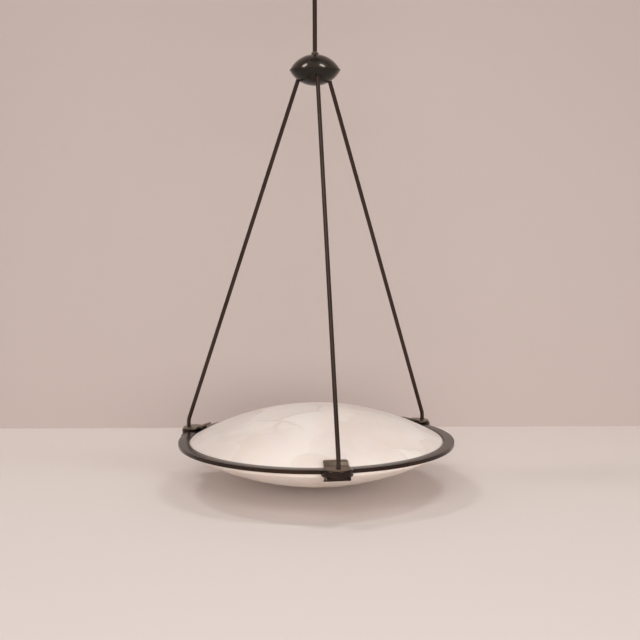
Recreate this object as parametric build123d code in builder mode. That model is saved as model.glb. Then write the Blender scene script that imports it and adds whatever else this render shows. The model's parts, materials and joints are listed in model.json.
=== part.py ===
"""Ceiling lamp: a lens of two alabaster dishes in a bronze hoop, hung on three rods from a hub and a stem."""
import os
from math import acos, cos, degrees, radians, sin, sqrt

from build123d import *

os.makedirs("parts", exist_ok=True)

# Levels, in millimetres, with the ceiling at zero and everything else below it
ring_drop = 955.0
hub_rise = 720.0

# Alabaster dishes: two of one shape, rim to rim
dish_diameter = 500.0
dish_wall = 8.0
dish_land = 6.5
dish_crown = 66.0
dish_knuckle = 7.0

# Hoop ring round the dishes
ring_band = 20.7
ring_thickness = 7.2
ring_to_dish = 0.8
ring_edge = 0.7

# Three stations round the axis, the first one in front
station_count = 3
first_station = -90.0

# Rods
rod_diameter = 8.0
rod_bore = 3.6
rod_stud_diameter = 6.0
rod_reach = 13.5
rod_bend_height = 22.0
rod_bend_radius = 30.0
rod_entry_radius = 35.0
rod_entry_drop = 16.0

# Lug between ring and rod: a round boss with bevelled edges
lug_round = 28.8
lug_inset = 17.2
lug_rise = 1.8
lug_bevel = 1.4
lug_taper = 1.0

# Swivel clip over the upper dish
clip_width = 44.5
clip_plate = 3.0
clip_round = 26.2
clip_step_back = 9.0
clip_step_run = 6.0
clip_step_rise = 4.8
clip_over_dish = 7.0
clip_tip_rise = 7.2
clip_corner = 5.0
clip_gap = 0.2
bumper_diameter = 9.0
bumper_inset = 5.6
bumper_gap = 0.35

# Lower clip under the lower dish
lower_clip_width = 42.5
lower_clip_base = 4.6
lower_clip_front = 7.4
lower_clip_wall = 2.8
lower_to_dish = 5.4

# Foot nuts
nut_across_flats = 10.0
nut_thickness = 3.0
nut_pocket_gap = 0.4

# Hub
hub_diameter = 98.0
hub_cap_height = 30.0
hub_bowl_depth = 29.0
hub_wall = 1.5
hub_lip = 0.5
hub_seam_gap = 0.3
core_height = 10.0
core_below_seam = 1.0
set_screw_diameter = 4.0

# Stem
stem_diameter = 8.6
stem_bore = 5.0
stem_nut_flats = 13.0
stem_nut_height = 4.6

# Collars on the stem
collar_diameter = 14.0
collar_taper = 2.0
hub_collar_height = 4.6
canopy_collar_height = 8.0
grub_diameter = 2.4

# Canopy
canopy_diameter = 112.0
canopy_ceiling_gap = 4.5
canopy_height = 68.0
canopy_wall = 1.2
canopy_flat = 20.0

# Ceiling strap and hook
strap_margin = 4.0
strap_width = 24.0
strap_thickness = 3.0
slot_spacing = 60.0
slot_length = 14.0
slot_width = 5.4
hook_wire = 5.0
hook_radius = 9.0
hook_neck_radius = 5.0
hook_neck_drop = 6.0
hook_flange = 13.0

# Link and fork between hook and stem
link_eye_hole = 12.0
link_eye_rim = 4.0
link_thickness = 4.6
link_tab = 12.0
link_pin_drop = 19.5
pin_diameter = 5.0
fork_diameter = 16.0
fork_base = 12.0

# Lamp carrier, lampholders and bulbs inside the lens
arm_thickness = 3.0
arm_width = 14.0
arm_eye = 11.0
carrier_disc = 62.0
holder_tab_width = 30.0
holder_tab_thickness = 2.0
holder_tab_height = 36.0
holder_diameter = 40.0
holder_length = 48.0
holder_nipple = 10.0
nipple_length = 8.0
socket_depth = 27.0
cap_diameter = 26.0
bulb_diameter = 60.0
bulb_length = 80.0
bulb_wall = 1.2
block_length = 30.0
block_width = 17.0
block_height = 12.0

# Clearances
slip = 0.1
seat_gap = 0.05
rest_gap = 0.3
running = 0.05

# Values that follow from the ones above
ring_z = -ring_drop
hub_z = ring_z + hub_rise
dish_radius = dish_diameter / 2
ring_inner = dish_radius + ring_to_dish
ring_outer = ring_inner + ring_band
ring_top = ring_z + ring_thickness / 2
ring_bottom = ring_z - ring_thickness / 2
arm_top = ring_bottom - rest_gap
arm_bottom = arm_top - arm_thickness
rod_axis = ring_outer + rod_reach
clip_step_start = rod_axis - dish_radius - clip_step_back
clip_tip = rod_axis - dish_radius + clip_over_dish
lug_top = ring_top + lug_rise
clip_bottom = lug_top + clip_gap
clip_top = clip_bottom + clip_plate
rod_bend_z = ring_z + rod_bend_height
rod_entry_z = hub_z - rod_entry_drop
rod_lean = (rod_axis - rod_entry_radius) / (rod_entry_z - rod_bend_z)
core_top = hub_z - core_below_seam
core_bottom = core_top - core_height
rod_end_z = core_top + 1.5
rod_end_radius = rod_entry_radius - rod_lean * (rod_end_z - rod_entry_z)
hub_radius = hub_diameter / 2
stem_radius = stem_diameter / 2
lower_clip_top = arm_bottom
lower_clip_bottom = lower_clip_top - lower_clip_base
dish_sphere = (dish_radius**2 + dish_crown**2) / (2 * dish_crown)
strap_length = slot_spacing + slot_length + 2 * strap_margin


def heading(angle):
    """Return the unit vector that points outward at an angle in degrees."""
    return (cos(radians(angle)), sin(radians(angle)), 0.0)


def upright(angle):
    """Return the plane with x outward at the angle and y straight up."""
    out = heading(angle)
    return Plane(origin=(0, 0, 0), x_dir=out, z_dir=(out[1], -out[0], 0))


def level(angle, height):
    """Return the level plane at a height with x outward at the angle."""
    return Plane(origin=(0, 0, height), x_dir=heading(angle), z_dir=(0, 0, 1))


def foot(angle, height):
    """Return the level plane at a height on a rod's foot axis, with x outward."""
    out = heading(angle)
    return Plane(origin=(rod_axis * out[0], rod_axis * out[1], height), x_dir=out, z_dir=(0, 0, 1))


def rod_plane(angle):
    """Return the plane square to a rod at the hub entry, with z along the rod toward the hub."""
    out = heading(angle)
    rise = 1 / sqrt(1 + rod_lean**2)
    run = rod_lean * rise
    entry = (rod_entry_radius * out[0], rod_entry_radius * out[1], rod_entry_z)
    return Plane(origin=entry, x_dir=(out[1], -out[0], 0), z_dir=(-run * out[0], -run * out[1], rise))


def dish_height(radius):
    """Return how far a dish's outer face stands from its rim plane at a radius."""
    return dish_land + dish_crown - dish_sphere + sqrt(dish_sphere**2 - radius**2)


stations = {}
for index in range(station_count):
    stations[index + 1] = first_station + index * 360 / station_count

# Ceiling strap with two slots and a countersunk hole for the hook
with BuildPart() as ceiling_strap:
    with BuildSketch(Plane.XY.offset(-strap_thickness)):
        RectangleRounded(strap_length, strap_width, 5)
        with Locations((-slot_spacing / 2, 0), (slot_spacing / 2, 0)):
            SlotOverall(slot_length, slot_width, mode=Mode.SUBTRACT)
        Circle(hook_wire / 2 + slip, mode=Mode.SUBTRACT)
    extrude(amount=strap_thickness)
    chamfer(ceiling_strap.faces().sort_by(Axis.Z)[0].outer_wire().edges(), 0.5)
    with BuildSketch(Plane.XZ):
        with BuildLine():
            Polyline(
                (0, 0.5),
                (hook_wire / 2 + 2.4 + slip, 0.5),
                (hook_wire / 2 + 2.0 + slip, 0),
                (hook_wire / 2 + slip, -2.0),
                (0, -2.0),
                close=True,
            )
        make_face()
    revolve(axis=Axis.Z, mode=Mode.SUBTRACT)
ceiling_strap.part.label = "ceiling_strap"
export_step(ceiling_strap.part, "parts/ceiling_strap.step")

# Hook riveted through the strap, its bearing point on the axis
neck_turn = degrees(acos(hook_neck_radius / (hook_neck_radius + hook_radius)))
hook_centre_z = -hook_neck_drop - (hook_neck_radius + hook_radius) * sin(radians(neck_turn))
with BuildPart() as ceiling_hook:
    with BuildLine(Plane.YZ):
        shank = Line((0, -strap_thickness), (0, -hook_neck_drop))
        neck = JernArc(shank @ 1, shank % 1, hook_neck_radius, -neck_turn)
        JernArc(neck @ 1, neck % 1, hook_radius, 262)
    with BuildSketch(Plane.XY.offset(-strap_thickness)):
        Circle(hook_wire / 2)
    sweep()
    with BuildSketch(Plane.XZ):
        with BuildLine():
            Polyline(
                (0, -0.2),
                (hook_wire / 2 + 1.8, -0.2),
                (hook_wire / 2, -2.0),
                (hook_wire / 2, -strap_thickness - seat_gap),
                (hook_flange / 2, -strap_thickness - seat_gap),
                (hook_flange / 2, -strap_thickness - 1.8),
                (0, -strap_thickness - 1.8),
                close=True,
            )
        make_face()
    revolve(axis=Axis.Z)
ceiling_hook.part.label = "ceiling_hook"
export_step(ceiling_hook.part, "parts/ceiling_hook.step")

# Link: upper eye on the hook, lower tab across it for the stem's pin
hook_seat_z = hook_centre_z - hook_radius
eye_top = hook_seat_z + hook_wire / 2 + rest_gap
eye_centre = eye_top - link_eye_hole / 2
eye_outer = link_eye_hole / 2 + link_eye_rim
pin_z = eye_centre - link_pin_drop
with BuildPart() as swivel_link:
    with BuildSketch(Plane.XZ.offset(-link_thickness / 2)):
        with Locations((0, eye_centre)):
            Circle(eye_outer)
    extrude(amount=link_thickness)
    with BuildSketch(Plane.YZ.offset(-link_thickness / 2)):
        with Locations((0, pin_z)):
            Circle(link_tab / 2)
        with Locations((0, (pin_z + eye_centre - eye_outer + 2) / 2)):
            Rectangle(link_tab, eye_centre - eye_outer + 2 - pin_z)
    extrude(amount=link_thickness)
    with BuildSketch(Plane.XY.offset(eye_centre - eye_outer - 2.5)):
        Circle(link_tab / 2 - 1)
    extrude(amount=5)
    with BuildSketch(Plane.XZ.offset(-link_tab)):
        with Locations((0, eye_centre)):
            Circle(link_eye_hole / 2)
    extrude(amount=2 * link_tab, mode=Mode.SUBTRACT)
    eye_edges = swivel_link.edges().filter_by(GeomType.CIRCLE)
    eye_edges = eye_edges.filter_by(lambda edge: abs(edge.radius - link_eye_hole / 2) < 0.01)
    chamfer(eye_edges, 0.9)
    with BuildSketch(Plane.YZ.offset(-link_tab)):
        with Locations((0, pin_z)):
            Circle(pin_diameter / 2 + running)
    extrude(amount=2 * link_tab, mode=Mode.SUBTRACT)
swivel_link.part.label = "swivel_link"
export_step(swivel_link.part, "parts/swivel_link.step")

# Fork screwed on the stem's top, straddling the link's tab
fork_slot = link_thickness + 2 * rest_gap
fork_top = pin_z + pin_diameter / 2 + 3
fork_floor = pin_z - link_tab / 2 - 1.2
fork_bottom = fork_floor - fork_base
stem_top = fork_floor - 2.5
with BuildPart() as stem_fork:
    with BuildSketch(Plane.XY.offset(fork_bottom)):
        Circle(fork_diameter / 2)
    extrude(amount=fork_top - fork_bottom)
    chamfer(stem_fork.edges().filter_by(GeomType.CIRCLE), 1.2)
    with BuildSketch(Plane.XY.offset(fork_floor)):
        Rectangle(fork_slot, fork_diameter + 2)
    extrude(amount=fork_top - fork_floor + 1, mode=Mode.SUBTRACT)
    with BuildSketch(Plane.YZ.offset(-fork_diameter)):
        with Locations((0, pin_z)):
            Circle(pin_diameter / 2 + seat_gap / 2)
    extrude(amount=2 * fork_diameter, mode=Mode.SUBTRACT)
    with BuildSketch(Plane.XY.offset(fork_bottom)):
        Circle(stem_radius + seat_gap)
    extrude(amount=stem_top - fork_bottom + seat_gap, mode=Mode.SUBTRACT)
    with BuildSketch(Plane.XY.offset(fork_bottom)):
        Circle(stem_bore / 2)
    extrude(amount=fork_base + 1, mode=Mode.SUBTRACT)
stem_fork.part.label = "stem_fork"
export_step(stem_fork.part, "parts/stem_fork.step")

# Pin through the fork and the link
with BuildPart() as link_pin:
    with BuildSketch(Plane.YZ.offset(-fork_diameter / 2 - 1)):
        with Locations((0, pin_z)):
            Circle(pin_diameter / 2)
    extrude(amount=fork_diameter + 2)
    chamfer(link_pin.edges().filter_by(GeomType.CIRCLE), 0.5)
    with BuildSketch(Plane.YZ.offset(fork_diameter / 2 + 1)):
        with Locations((0, pin_z)):
            Circle(pin_diameter / 2 + 1.5)
    extrude(amount=2)
link_pin.part.label = "link_pin"
export_step(link_pin.part, "parts/link_pin.step")

# Stem tube from the fork down through the hub core
stem_foot = core_bottom - stem_nut_height - 2.5
with BuildPart() as stem:
    with BuildSketch(Plane.XY.offset(stem_foot)):
        Circle(stem_radius)
        Circle(stem_bore / 2, mode=Mode.SUBTRACT)
    extrude(amount=stem_top - stem_foot)
stem.part.label = "stem"
export_step(stem.part, "parts/stem.step")

# Canopy: a drawn dome open to the ceiling
canopy_rim = -canopy_ceiling_gap
canopy_low = canopy_rim - canopy_height
canopy_radius = canopy_diameter / 2
with BuildPart() as canopy:
    with BuildSketch(Plane.XZ):
        with BuildLine():
            Line((canopy_radius, canopy_rim), (canopy_radius - 1.0, canopy_rim - 14))
            EllipticalCenterArc(
                (canopy_flat / 2, canopy_rim - 14),
                canopy_radius - 1.0 - canopy_flat / 2,
                canopy_height - 14,
                start_angle=-90,
                arc_size=90,
            )
            Line((canopy_flat / 2, canopy_low), (0, canopy_low))
            Line((0, canopy_low), (0, canopy_rim))
            Line((0, canopy_rim), (canopy_radius, canopy_rim))
        make_face()
    revolve(axis=Axis.Z)
    offset(amount=-canopy_wall, openings=canopy.faces().sort_by(Axis.Z)[-1])
    with BuildSketch(Plane.XY.offset(canopy_low - 1)):
        Circle(stem_radius + slip)
    extrude(amount=canopy_wall + 2, mode=Mode.SUBTRACT)
canopy.part.label = "canopy"
export_step(canopy.part, "parts/canopy.step")

# Collars and their grub screws
collars = {
    "canopy": (canopy_low - canopy_collar_height, canopy_collar_height),
    "hub": (hub_z + hub_seam_gap + hub_cap_height, hub_collar_height),
}
grub_shifts = {"canopy": 0.0, "hub": -(hub_collar_height - grub_diameter) / 4}
for owner, (collar_foot, collar_height) in collars.items():
    collar_middle = collar_foot + collar_height / 2 + grub_shifts[owner]
    with BuildPart() as collar:
        with BuildSketch(Plane.XY.offset(collar_foot)):
            Circle(collar_diameter / 2)
        extrude(amount=collar_height)
        collar_hoops = collar.edges().filter_by(GeomType.CIRCLE).sort_by(Axis.Z, reverse=owner == "hub")
        chamfer(collar_hoops[0], collar_taper)
        with BuildSketch(Plane.XY.offset(collar_foot)):
            Circle(stem_radius + slip)
        extrude(amount=collar_height, mode=Mode.SUBTRACT)
        with BuildSketch(Plane.XZ):
            with Locations((0, collar_middle)):
                Circle(grub_diameter / 2 + seat_gap)
        extrude(amount=collar_diameter, mode=Mode.SUBTRACT)
    collar.part.label = owner + "_collar"
    export_step(collar.part, "parts/" + owner + "_collar.step")

    with BuildPart() as grub_screw:
        with BuildSketch(Plane.XZ.offset(stem_radius + slip)):
            with Locations((0, collar_middle)):
                Circle(grub_diameter / 2)
        extrude(amount=collar_diameter / 2 - stem_radius - slip - 0.6)
        with BuildSketch(Plane.XZ.offset(collar_diameter / 2 - 1.6)):
            with Locations((0, collar_middle)):
                RegularPolygon(0.7, 6)
        extrude(amount=2, mode=Mode.SUBTRACT)
    grub_screw.part.label = owner + "_grub_screw"
    export_step(grub_screw.part, "parts/" + owner + "_grub_screw.step")

# Upper hub shell: a spun cap with a fine lip at its rim
cap_z = hub_z + hub_seam_gap
cap_sphere = ((hub_radius - hub_lip) ** 2 + hub_cap_height**2) / (2 * hub_cap_height)
cap_inner = cap_sphere - hub_wall
cap_centre = cap_z + hub_cap_height - cap_sphere
with BuildPart() as hub_upper_shell:
    with BuildSketch(Plane.XZ):
        with BuildLine():
            lip_top = cap_z + 0.9
            lip_radius = sqrt(cap_sphere**2 - (lip_top - cap_centre) ** 2)
            inner_radius = sqrt(cap_inner**2 - (cap_z - cap_centre) ** 2)
            Polyline((inner_radius, cap_z), (hub_radius, cap_z), (hub_radius, lip_top), (lip_radius, lip_top))
            RadiusArc((lip_radius, lip_top), (0, cap_z + hub_cap_height), -cap_sphere)
            Line((0, cap_z + hub_cap_height), (0, cap_z + hub_cap_height - hub_wall))
            RadiusArc((0, cap_z + hub_cap_height - hub_wall), (inner_radius, cap_z), cap_inner)
        make_face()
    revolve(axis=Axis.Z)
    with BuildSketch(Plane.XY.offset(cap_z)):
        Circle(stem_radius + slip)
    extrude(amount=hub_cap_height + 2, mode=Mode.SUBTRACT)
hub_upper_shell.part.label = "hub_upper_shell"
export_step(hub_upper_shell.part, "parts/hub_upper_shell.step")

# Lower hub shell: a spun bowl with a hole for each rod
bowl_rim = hub_radius - hub_lip
bowl_sphere = (bowl_rim**2 + hub_bowl_depth**2) / (2 * hub_bowl_depth)
bowl_inner = bowl_sphere - hub_wall
bowl_centre = hub_z - hub_bowl_depth + bowl_sphere
bowl_inner_rim = sqrt(bowl_inner**2 - (hub_z - bowl_centre) ** 2)
with BuildPart() as hub_lower_shell:
    with BuildSketch(Plane.XZ):
        with BuildLine():
            RadiusArc((bowl_rim, hub_z), (0, hub_z - hub_bowl_depth), bowl_sphere)
            Line((0, hub_z - hub_bowl_depth), (0, hub_z - hub_bowl_depth + hub_wall))
            RadiusArc((0, hub_z - hub_bowl_depth + hub_wall), (bowl_inner_rim, hub_z), -bowl_inner)
            Line((bowl_inner_rim, hub_z), (bowl_rim, hub_z))
        make_face()
    revolve(axis=Axis.Z)
    for angle in stations.values():
        with BuildSketch(rod_plane(angle).offset(-20)):
            Circle(rod_diameter / 2 + slip)
        extrude(amount=40, mode=Mode.SUBTRACT)
hub_lower_shell.part.label = "hub_lower_shell"
export_step(hub_lower_shell.part, "parts/hub_lower_shell.step")

# Hub core: a turned block seated in the bowl, bored for the stem and the rods
core_seat = sqrt(bowl_inner**2 - (core_bottom - bowl_centre) ** 2) - slip
core_crown = sqrt(bowl_inner**2 - (core_top - bowl_centre) ** 2) - 2.0
set_screw_z = core_top - core_height / 2
with BuildPart() as hub_core:
    with BuildSketch(Plane.XZ):
        with BuildLine():
            Polyline(
                (0, core_bottom),
                (core_seat, core_bottom),
                (core_crown, core_top),
                (0, core_top),
                close=True,
            )
        make_face()
    revolve(axis=Axis.Z)
    with BuildSketch(Plane.XY.offset(core_bottom)):
        Circle(stem_radius + seat_gap)
    extrude(amount=core_height, mode=Mode.SUBTRACT)
    for angle in stations.values():
        with BuildSketch(rod_plane(angle).offset(-10)):
            Circle(rod_diameter / 2 + seat_gap)
        extrude(amount=50, mode=Mode.SUBTRACT)
        with BuildSketch(upright(angle + 90).offset(rod_end_radius)):
            with Locations((0, set_screw_z)):
                Circle(set_screw_diameter / 2 + seat_gap)
        extrude(amount=hub_radius - rod_end_radius, mode=Mode.SUBTRACT)
hub_core.part.label = "hub_core"
export_step(hub_core.part, "parts/hub_core.step")

# Set screws that lock the rods in the core
rod_radius_at_screw = rod_entry_radius - rod_lean * (set_screw_z - rod_entry_z)
screw_start = rod_radius_at_screw + rod_diameter / 2 * sqrt(1 + rod_lean**2) + 1.0
screw_end = (core_crown + core_seat) / 2 - 1.2
with BuildPart() as rod_set_screws:
    for angle in stations.values():
        with BuildSketch(upright(angle + 90).offset(screw_start)):
            with Locations((0, set_screw_z)):
                Circle(set_screw_diameter / 2)
        extrude(amount=screw_end - screw_start)
rod_set_screws.part.label = "rod_set_screws"
export_step(rod_set_screws.part, "parts/rod_set_screws.step")

# Hexagon nuts on the stem above and below the core
with BuildPart() as stem_nuts:
    for nut_foot in (core_top + seat_gap, core_bottom - seat_gap - stem_nut_height):
        with BuildSketch(Plane.XY.offset(nut_foot)):
            RegularPolygon(stem_nut_flats / 2, 6, major_radius=False)
            Circle(stem_radius + seat_gap, mode=Mode.SUBTRACT)
        extrude(amount=stem_nut_height)
stem_nuts.part.label = "stem_nuts"
export_step(stem_nuts.part, "parts/stem_nuts.step")

# Hoop ring
with BuildPart() as hoop_ring:
    with BuildSketch(Plane.XY.offset(ring_bottom)):
        Circle(ring_outer)
        Circle(ring_inner, mode=Mode.SUBTRACT)
    extrude(amount=ring_thickness)
    fillet(hoop_ring.edges(), ring_edge)
hoop_ring.part.label = "hoop_ring"
export_step(hoop_ring.part, "parts/hoop_ring.step")

# Upper and lower dishes share one profile, one turned over
dishes = {"upper_dish": (arm_top, 1), "lower_dish": (arm_bottom, -1)}
inner_sphere = dish_sphere - dish_wall
inner_rim = dish_radius - dish_wall
inner_apex = dish_land + dish_crown - dish_wall
inner_knee = inner_apex - inner_sphere + sqrt(inner_sphere**2 - inner_rim**2)
for label, (rim_z, side) in dishes.items():
    with BuildPart() as dish:
        with BuildSketch(Plane.XZ):
            with BuildLine():
                Line((inner_rim, rim_z), (dish_radius, rim_z))
                Line((dish_radius, rim_z), (dish_radius, rim_z + side * dish_land))
                RadiusArc(
                    (dish_radius, rim_z + side * dish_land),
                    (0, rim_z + side * (dish_land + dish_crown)),
                    -side * dish_sphere,
                )
                Line((0, rim_z + side * (dish_land + dish_crown)), (0, rim_z + side * inner_apex))
                RadiusArc(
                    (0, rim_z + side * inner_apex),
                    (inner_rim, rim_z + side * inner_knee),
                    side * inner_sphere,
                )
                Line((inner_rim, rim_z + side * inner_knee), (inner_rim, rim_z))
            make_face()
        revolve(axis=Axis.Z)
        outer_hoops = dish.edges().filter_by(
            lambda edge: abs(edge.bounding_box().size.X - dish_diameter) < 0.1
        )
        outer_hoops = outer_hoops.sort_by(Axis.Z, reverse=side > 0)
        fillet(outer_hoops[0], dish_knuckle)
        rim_hoop = dish.edges().filter_by(lambda edge: abs(edge.center().Z - rim_z) < 0.1)
        chamfer(rim_hoop, 0.8)
    dish.part.label = label
    export_step(dish.part, "parts/" + label + ".step")

# Gasket between the dish rims, notched for the carrier arms
with BuildPart() as rim_gasket:
    with BuildSketch(Plane.XY.offset(arm_bottom + seat_gap)):
        Circle(dish_radius - 1.0)
        Circle(inner_rim + 0.5, mode=Mode.SUBTRACT)
    extrude(amount=arm_thickness - 2 * seat_gap)
    for angle in stations.values():
        with BuildSketch(level(angle, arm_bottom)):
            with Locations((dish_radius, 0)):
                Rectangle(4 * dish_wall, arm_width + 2 * rest_gap)
        extrude(amount=arm_thickness, mode=Mode.SUBTRACT)
rim_gasket.part.label = "rim_gasket"
export_step(rim_gasket.part, "parts/rim_gasket.step")

# Rods, lugs, clips, bumpers and lower clips at each station
clip_half = clip_width / 2
clip_front = clip_round - lug_inset
tip_run = clip_tip - clip_step_start - clip_step_run
tongue_slope = (clip_tip_rise - clip_step_rise) / tip_run
bumper_run = clip_tip - bumper_inset
bumper_top = clip_bottom + clip_step_rise + (bumper_run - clip_step_start - clip_step_run) * tongue_slope
for number, angle in stations.items():
    tag = "_" + str(number)

    # Rod: a tube with a long straight leg, a bend and a plumb foot with a smaller stud
    with BuildPart() as rod:
        with BuildLine(upright(angle)) as rod_route:
            FilletPolyline(
                (rod_axis, clip_top + seat_gap),
                (rod_axis, rod_bend_z),
                (rod_end_radius, rod_end_z),
                radius=rod_bend_radius,
            )
        with BuildSketch(foot(angle, clip_top + seat_gap)):
            Circle(rod_diameter / 2)
        sweep(path=rod_route.line)
        with BuildSketch(foot(angle, lower_clip_bottom + 0.4)):
            Circle(rod_stud_diameter / 2)
        extrude(amount=clip_top + seat_gap - lower_clip_bottom - 0.4)
        with BuildLine(upright(angle)) as bore_route:
            FilletPolyline(
                (rod_axis, lower_clip_bottom),
                (rod_axis, rod_bend_z),
                (rod_end_radius - rod_lean, rod_end_z + 1),
                radius=rod_bend_radius,
            )
        with BuildSketch(foot(angle, lower_clip_bottom)):
            Circle(rod_bore / 2)
        sweep(path=bore_route.line, mode=Mode.SUBTRACT)
    rod.part.label = "rod" + tag
    export_step(rod.part, "parts/rod" + tag + ".step")

    # Lug: a round boss with bevelled edges, fitted to the ring, slotted for the arm and bored for the stud
    with BuildPart() as lug:
        with BuildSketch(foot(angle, arm_bottom + seat_gap)):
            with Locations((-lug_inset, 0)):
                Circle(lug_round)
        extrude(amount=lug_top - arm_bottom - seat_gap)
        lug_hoops = lug.edges().filter_by(GeomType.CIRCLE).sort_by(Axis.Z)
        chamfer(lug_hoops[-1], lug_bevel)
        lug_hoops = lug.edges().filter_by(GeomType.CIRCLE).sort_by(Axis.Z)
        chamfer(lug_hoops[0], lug_taper)
        with BuildSketch(Plane.XY.offset(arm_bottom)):
            Circle(ring_outer + seat_gap)
        extrude(amount=lug_top - arm_bottom + 1, mode=Mode.SUBTRACT)
        with BuildSketch(foot(angle, arm_bottom)):
            Circle(arm_eye / 2 + rest_gap)
            with Locations((-rod_reach, 0)):
                Rectangle(2 * (rod_reach + rest_gap), arm_width + 2 * rest_gap)
        extrude(amount=arm_thickness + seat_gap, mode=Mode.SUBTRACT)
        with BuildSketch(foot(angle, arm_bottom)):
            Circle(rod_stud_diameter / 2 + slip)
        extrude(amount=lug_top - arm_bottom + 1, mode=Mode.SUBTRACT)
    lug.part.label = "lug" + tag
    export_step(lug.part, "parts/lug" + tag + ".step")

    # Swivel clip: a bent plate, flat under the rod and stepped up over the dish
    with BuildPart() as clip:
        with BuildSketch(upright(angle).offset(-clip_half)):
            with BuildLine():
                FilletPolyline(
                    (rod_axis + clip_front + 3, clip_bottom),
                    (rod_axis - clip_step_start, clip_bottom),
                    (rod_axis - clip_step_start - clip_step_run, clip_bottom + clip_step_rise),
                    (rod_axis - clip_tip, clip_bottom + clip_tip_rise),
                    (rod_axis - clip_tip, clip_bottom + clip_tip_rise + clip_plate),
                    (rod_axis - clip_step_start - clip_step_run, clip_top + clip_step_rise + 0.5),
                    (rod_axis - clip_step_start, clip_top + 0.5),
                    (rod_axis - clip_step_start + 1, clip_top),
                    (rod_axis + clip_front + 3, clip_top),
                    radius=(0, 2.0, 2.0, 0, 0, 2.0, 0.6, 0, 0),
                    close=True,
                )
            make_face()
        extrude(amount=clip_width)
        with BuildSketch(foot(angle, clip_bottom - 1)):
            with Locations((-lug_inset, 0)):
                Circle(clip_round)
            with Locations((-(clip_tip + lug_inset) / 2, 0)):
                Rectangle(clip_tip - lug_inset, clip_width)
        extrude(amount=clip_plate + clip_tip_rise + 3, mode=Mode.INTERSECT)
        fillet(clip.edges().filter_by(Axis.Z), clip_corner)
        with BuildSketch(foot(angle, clip_bottom - 1)):
            Circle(rod_stud_diameter / 2 + slip)
        extrude(amount=clip_plate + 2, mode=Mode.SUBTRACT)
    clip.part.label = "clip" + tag
    export_step(clip.part, "parts/clip" + tag + ".step")

    # Rubber bumper under the clip's tip
    bumper_reach = rod_axis - bumper_run
    bumper_low = arm_top + dish_height(bumper_reach - bumper_diameter / 2) + bumper_gap
    with BuildPart() as clip_bumper:
        with BuildSketch(foot(angle, bumper_low)):
            with Locations((-bumper_run, 0)):
                Circle(bumper_diameter / 2)
        extrude(amount=bumper_top - bumper_low + 2)
        with BuildSketch(upright(angle).offset(-bumper_diameter)):
            with BuildLine():
                Polyline(
                    (bumper_reach + bumper_diameter, bumper_top - seat_gap - bumper_diameter * tongue_slope),
                    (bumper_reach - bumper_diameter, bumper_top - seat_gap + bumper_diameter * tongue_slope),
                    (bumper_reach - bumper_diameter, bumper_top + 20),
                    (bumper_reach + bumper_diameter, bumper_top + 20),
                    close=True,
                )
            make_face()
        extrude(amount=2 * bumper_diameter, mode=Mode.SUBTRACT)
    clip_bumper.part.label = "clip_bumper" + tag
    export_step(clip_bumper.part, "parts/clip_bumper" + tag + ".step")

    # Lower clip: a thick base with a nut pocket, a wall and a tongue under the lower dish
    tongue_root = arm_bottom - dish_height(dish_radius) - lower_to_dish + 1.5
    tongue_drop = clip_tip_rise - clip_step_rise + 1.5
    wall_out = rod_axis - clip_step_start - 1
    wall_in = wall_out - lower_clip_wall
    with BuildPart() as lower_clip:
        with BuildSketch(upright(angle).offset(-lower_clip_width / 2)):
            with BuildLine():
                Polyline(
                    (rod_axis + lower_clip_front, lower_clip_top - seat_gap),
                    (wall_in, lower_clip_top - seat_gap),
                    (wall_in, tongue_root),
                    (rod_axis - clip_tip, tongue_root - tongue_drop),
                    (rod_axis - clip_tip, tongue_root - tongue_drop - lower_clip_wall),
                    (wall_out, tongue_root - lower_clip_wall + 0.5),
                    (wall_out, lower_clip_bottom),
                    (rod_axis + lower_clip_front, lower_clip_bottom),
                    close=True,
                )
            make_face()
        extrude(amount=lower_clip_width)
        chamfer(lower_clip.edges().filter_by(Axis.Z).group_by(SortBy.DISTANCE)[-1], 1.5)
        with BuildSketch(foot(angle, lower_clip_bottom - 1)):
            Circle(rod_stud_diameter / 2 + slip)
        extrude(amount=lower_clip_base + 2, mode=Mode.SUBTRACT)
        with BuildSketch(foot(angle, lower_clip_bottom - 1)):
            Circle(nut_across_flats / sqrt(3) + nut_pocket_gap)
        extrude(amount=1 + nut_thickness + nut_pocket_gap, mode=Mode.SUBTRACT)
    lower_clip.part.label = "lower_clip" + tag
    export_step(lower_clip.part, "parts/lower_clip" + tag + ".step")

# Foot nuts, sunk in the lower clips
with BuildPart() as foot_nuts:
    for angle in stations.values():
        with BuildSketch(foot(angle, lower_clip_bottom + nut_pocket_gap - seat_gap)):
            RegularPolygon(nut_across_flats / 2, 6, major_radius=False)
            Circle(rod_stud_diameter / 2 + seat_gap, mode=Mode.SUBTRACT)
        extrude(amount=nut_thickness)
foot_nuts.part.label = "foot_nuts"
export_step(foot_nuts.part, "parts/foot_nuts.step")

# Rubber bumpers under the lower dish
wall_run = rod_axis - wall_in
lower_slope = tongue_drop / (clip_tip - wall_run)
lower_bumper_low = tongue_root - (bumper_run - wall_run) * lower_slope + seat_gap
lower_bumper_top = arm_bottom - dish_height(bumper_reach - bumper_diameter / 2) - bumper_gap
with BuildPart() as lower_bumpers:
    bumper_half = bumper_diameter / 2
    for angle in stations.values():
        with BuildSketch(upright(angle).offset(-bumper_half)):
            with BuildLine():
                Polyline(
                    (bumper_reach + bumper_half, lower_bumper_low + bumper_half * lower_slope),
                    (bumper_reach - bumper_half, lower_bumper_low - bumper_half * lower_slope),
                    (bumper_reach - bumper_half, lower_bumper_top),
                    (bumper_reach + bumper_half, lower_bumper_top),
                    close=True,
                )
            make_face()
        extrude(amount=bumper_diameter)
lower_bumpers.part.label = "lower_bumpers"
export_step(lower_bumpers.part, "parts/lower_bumpers.step")

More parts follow.
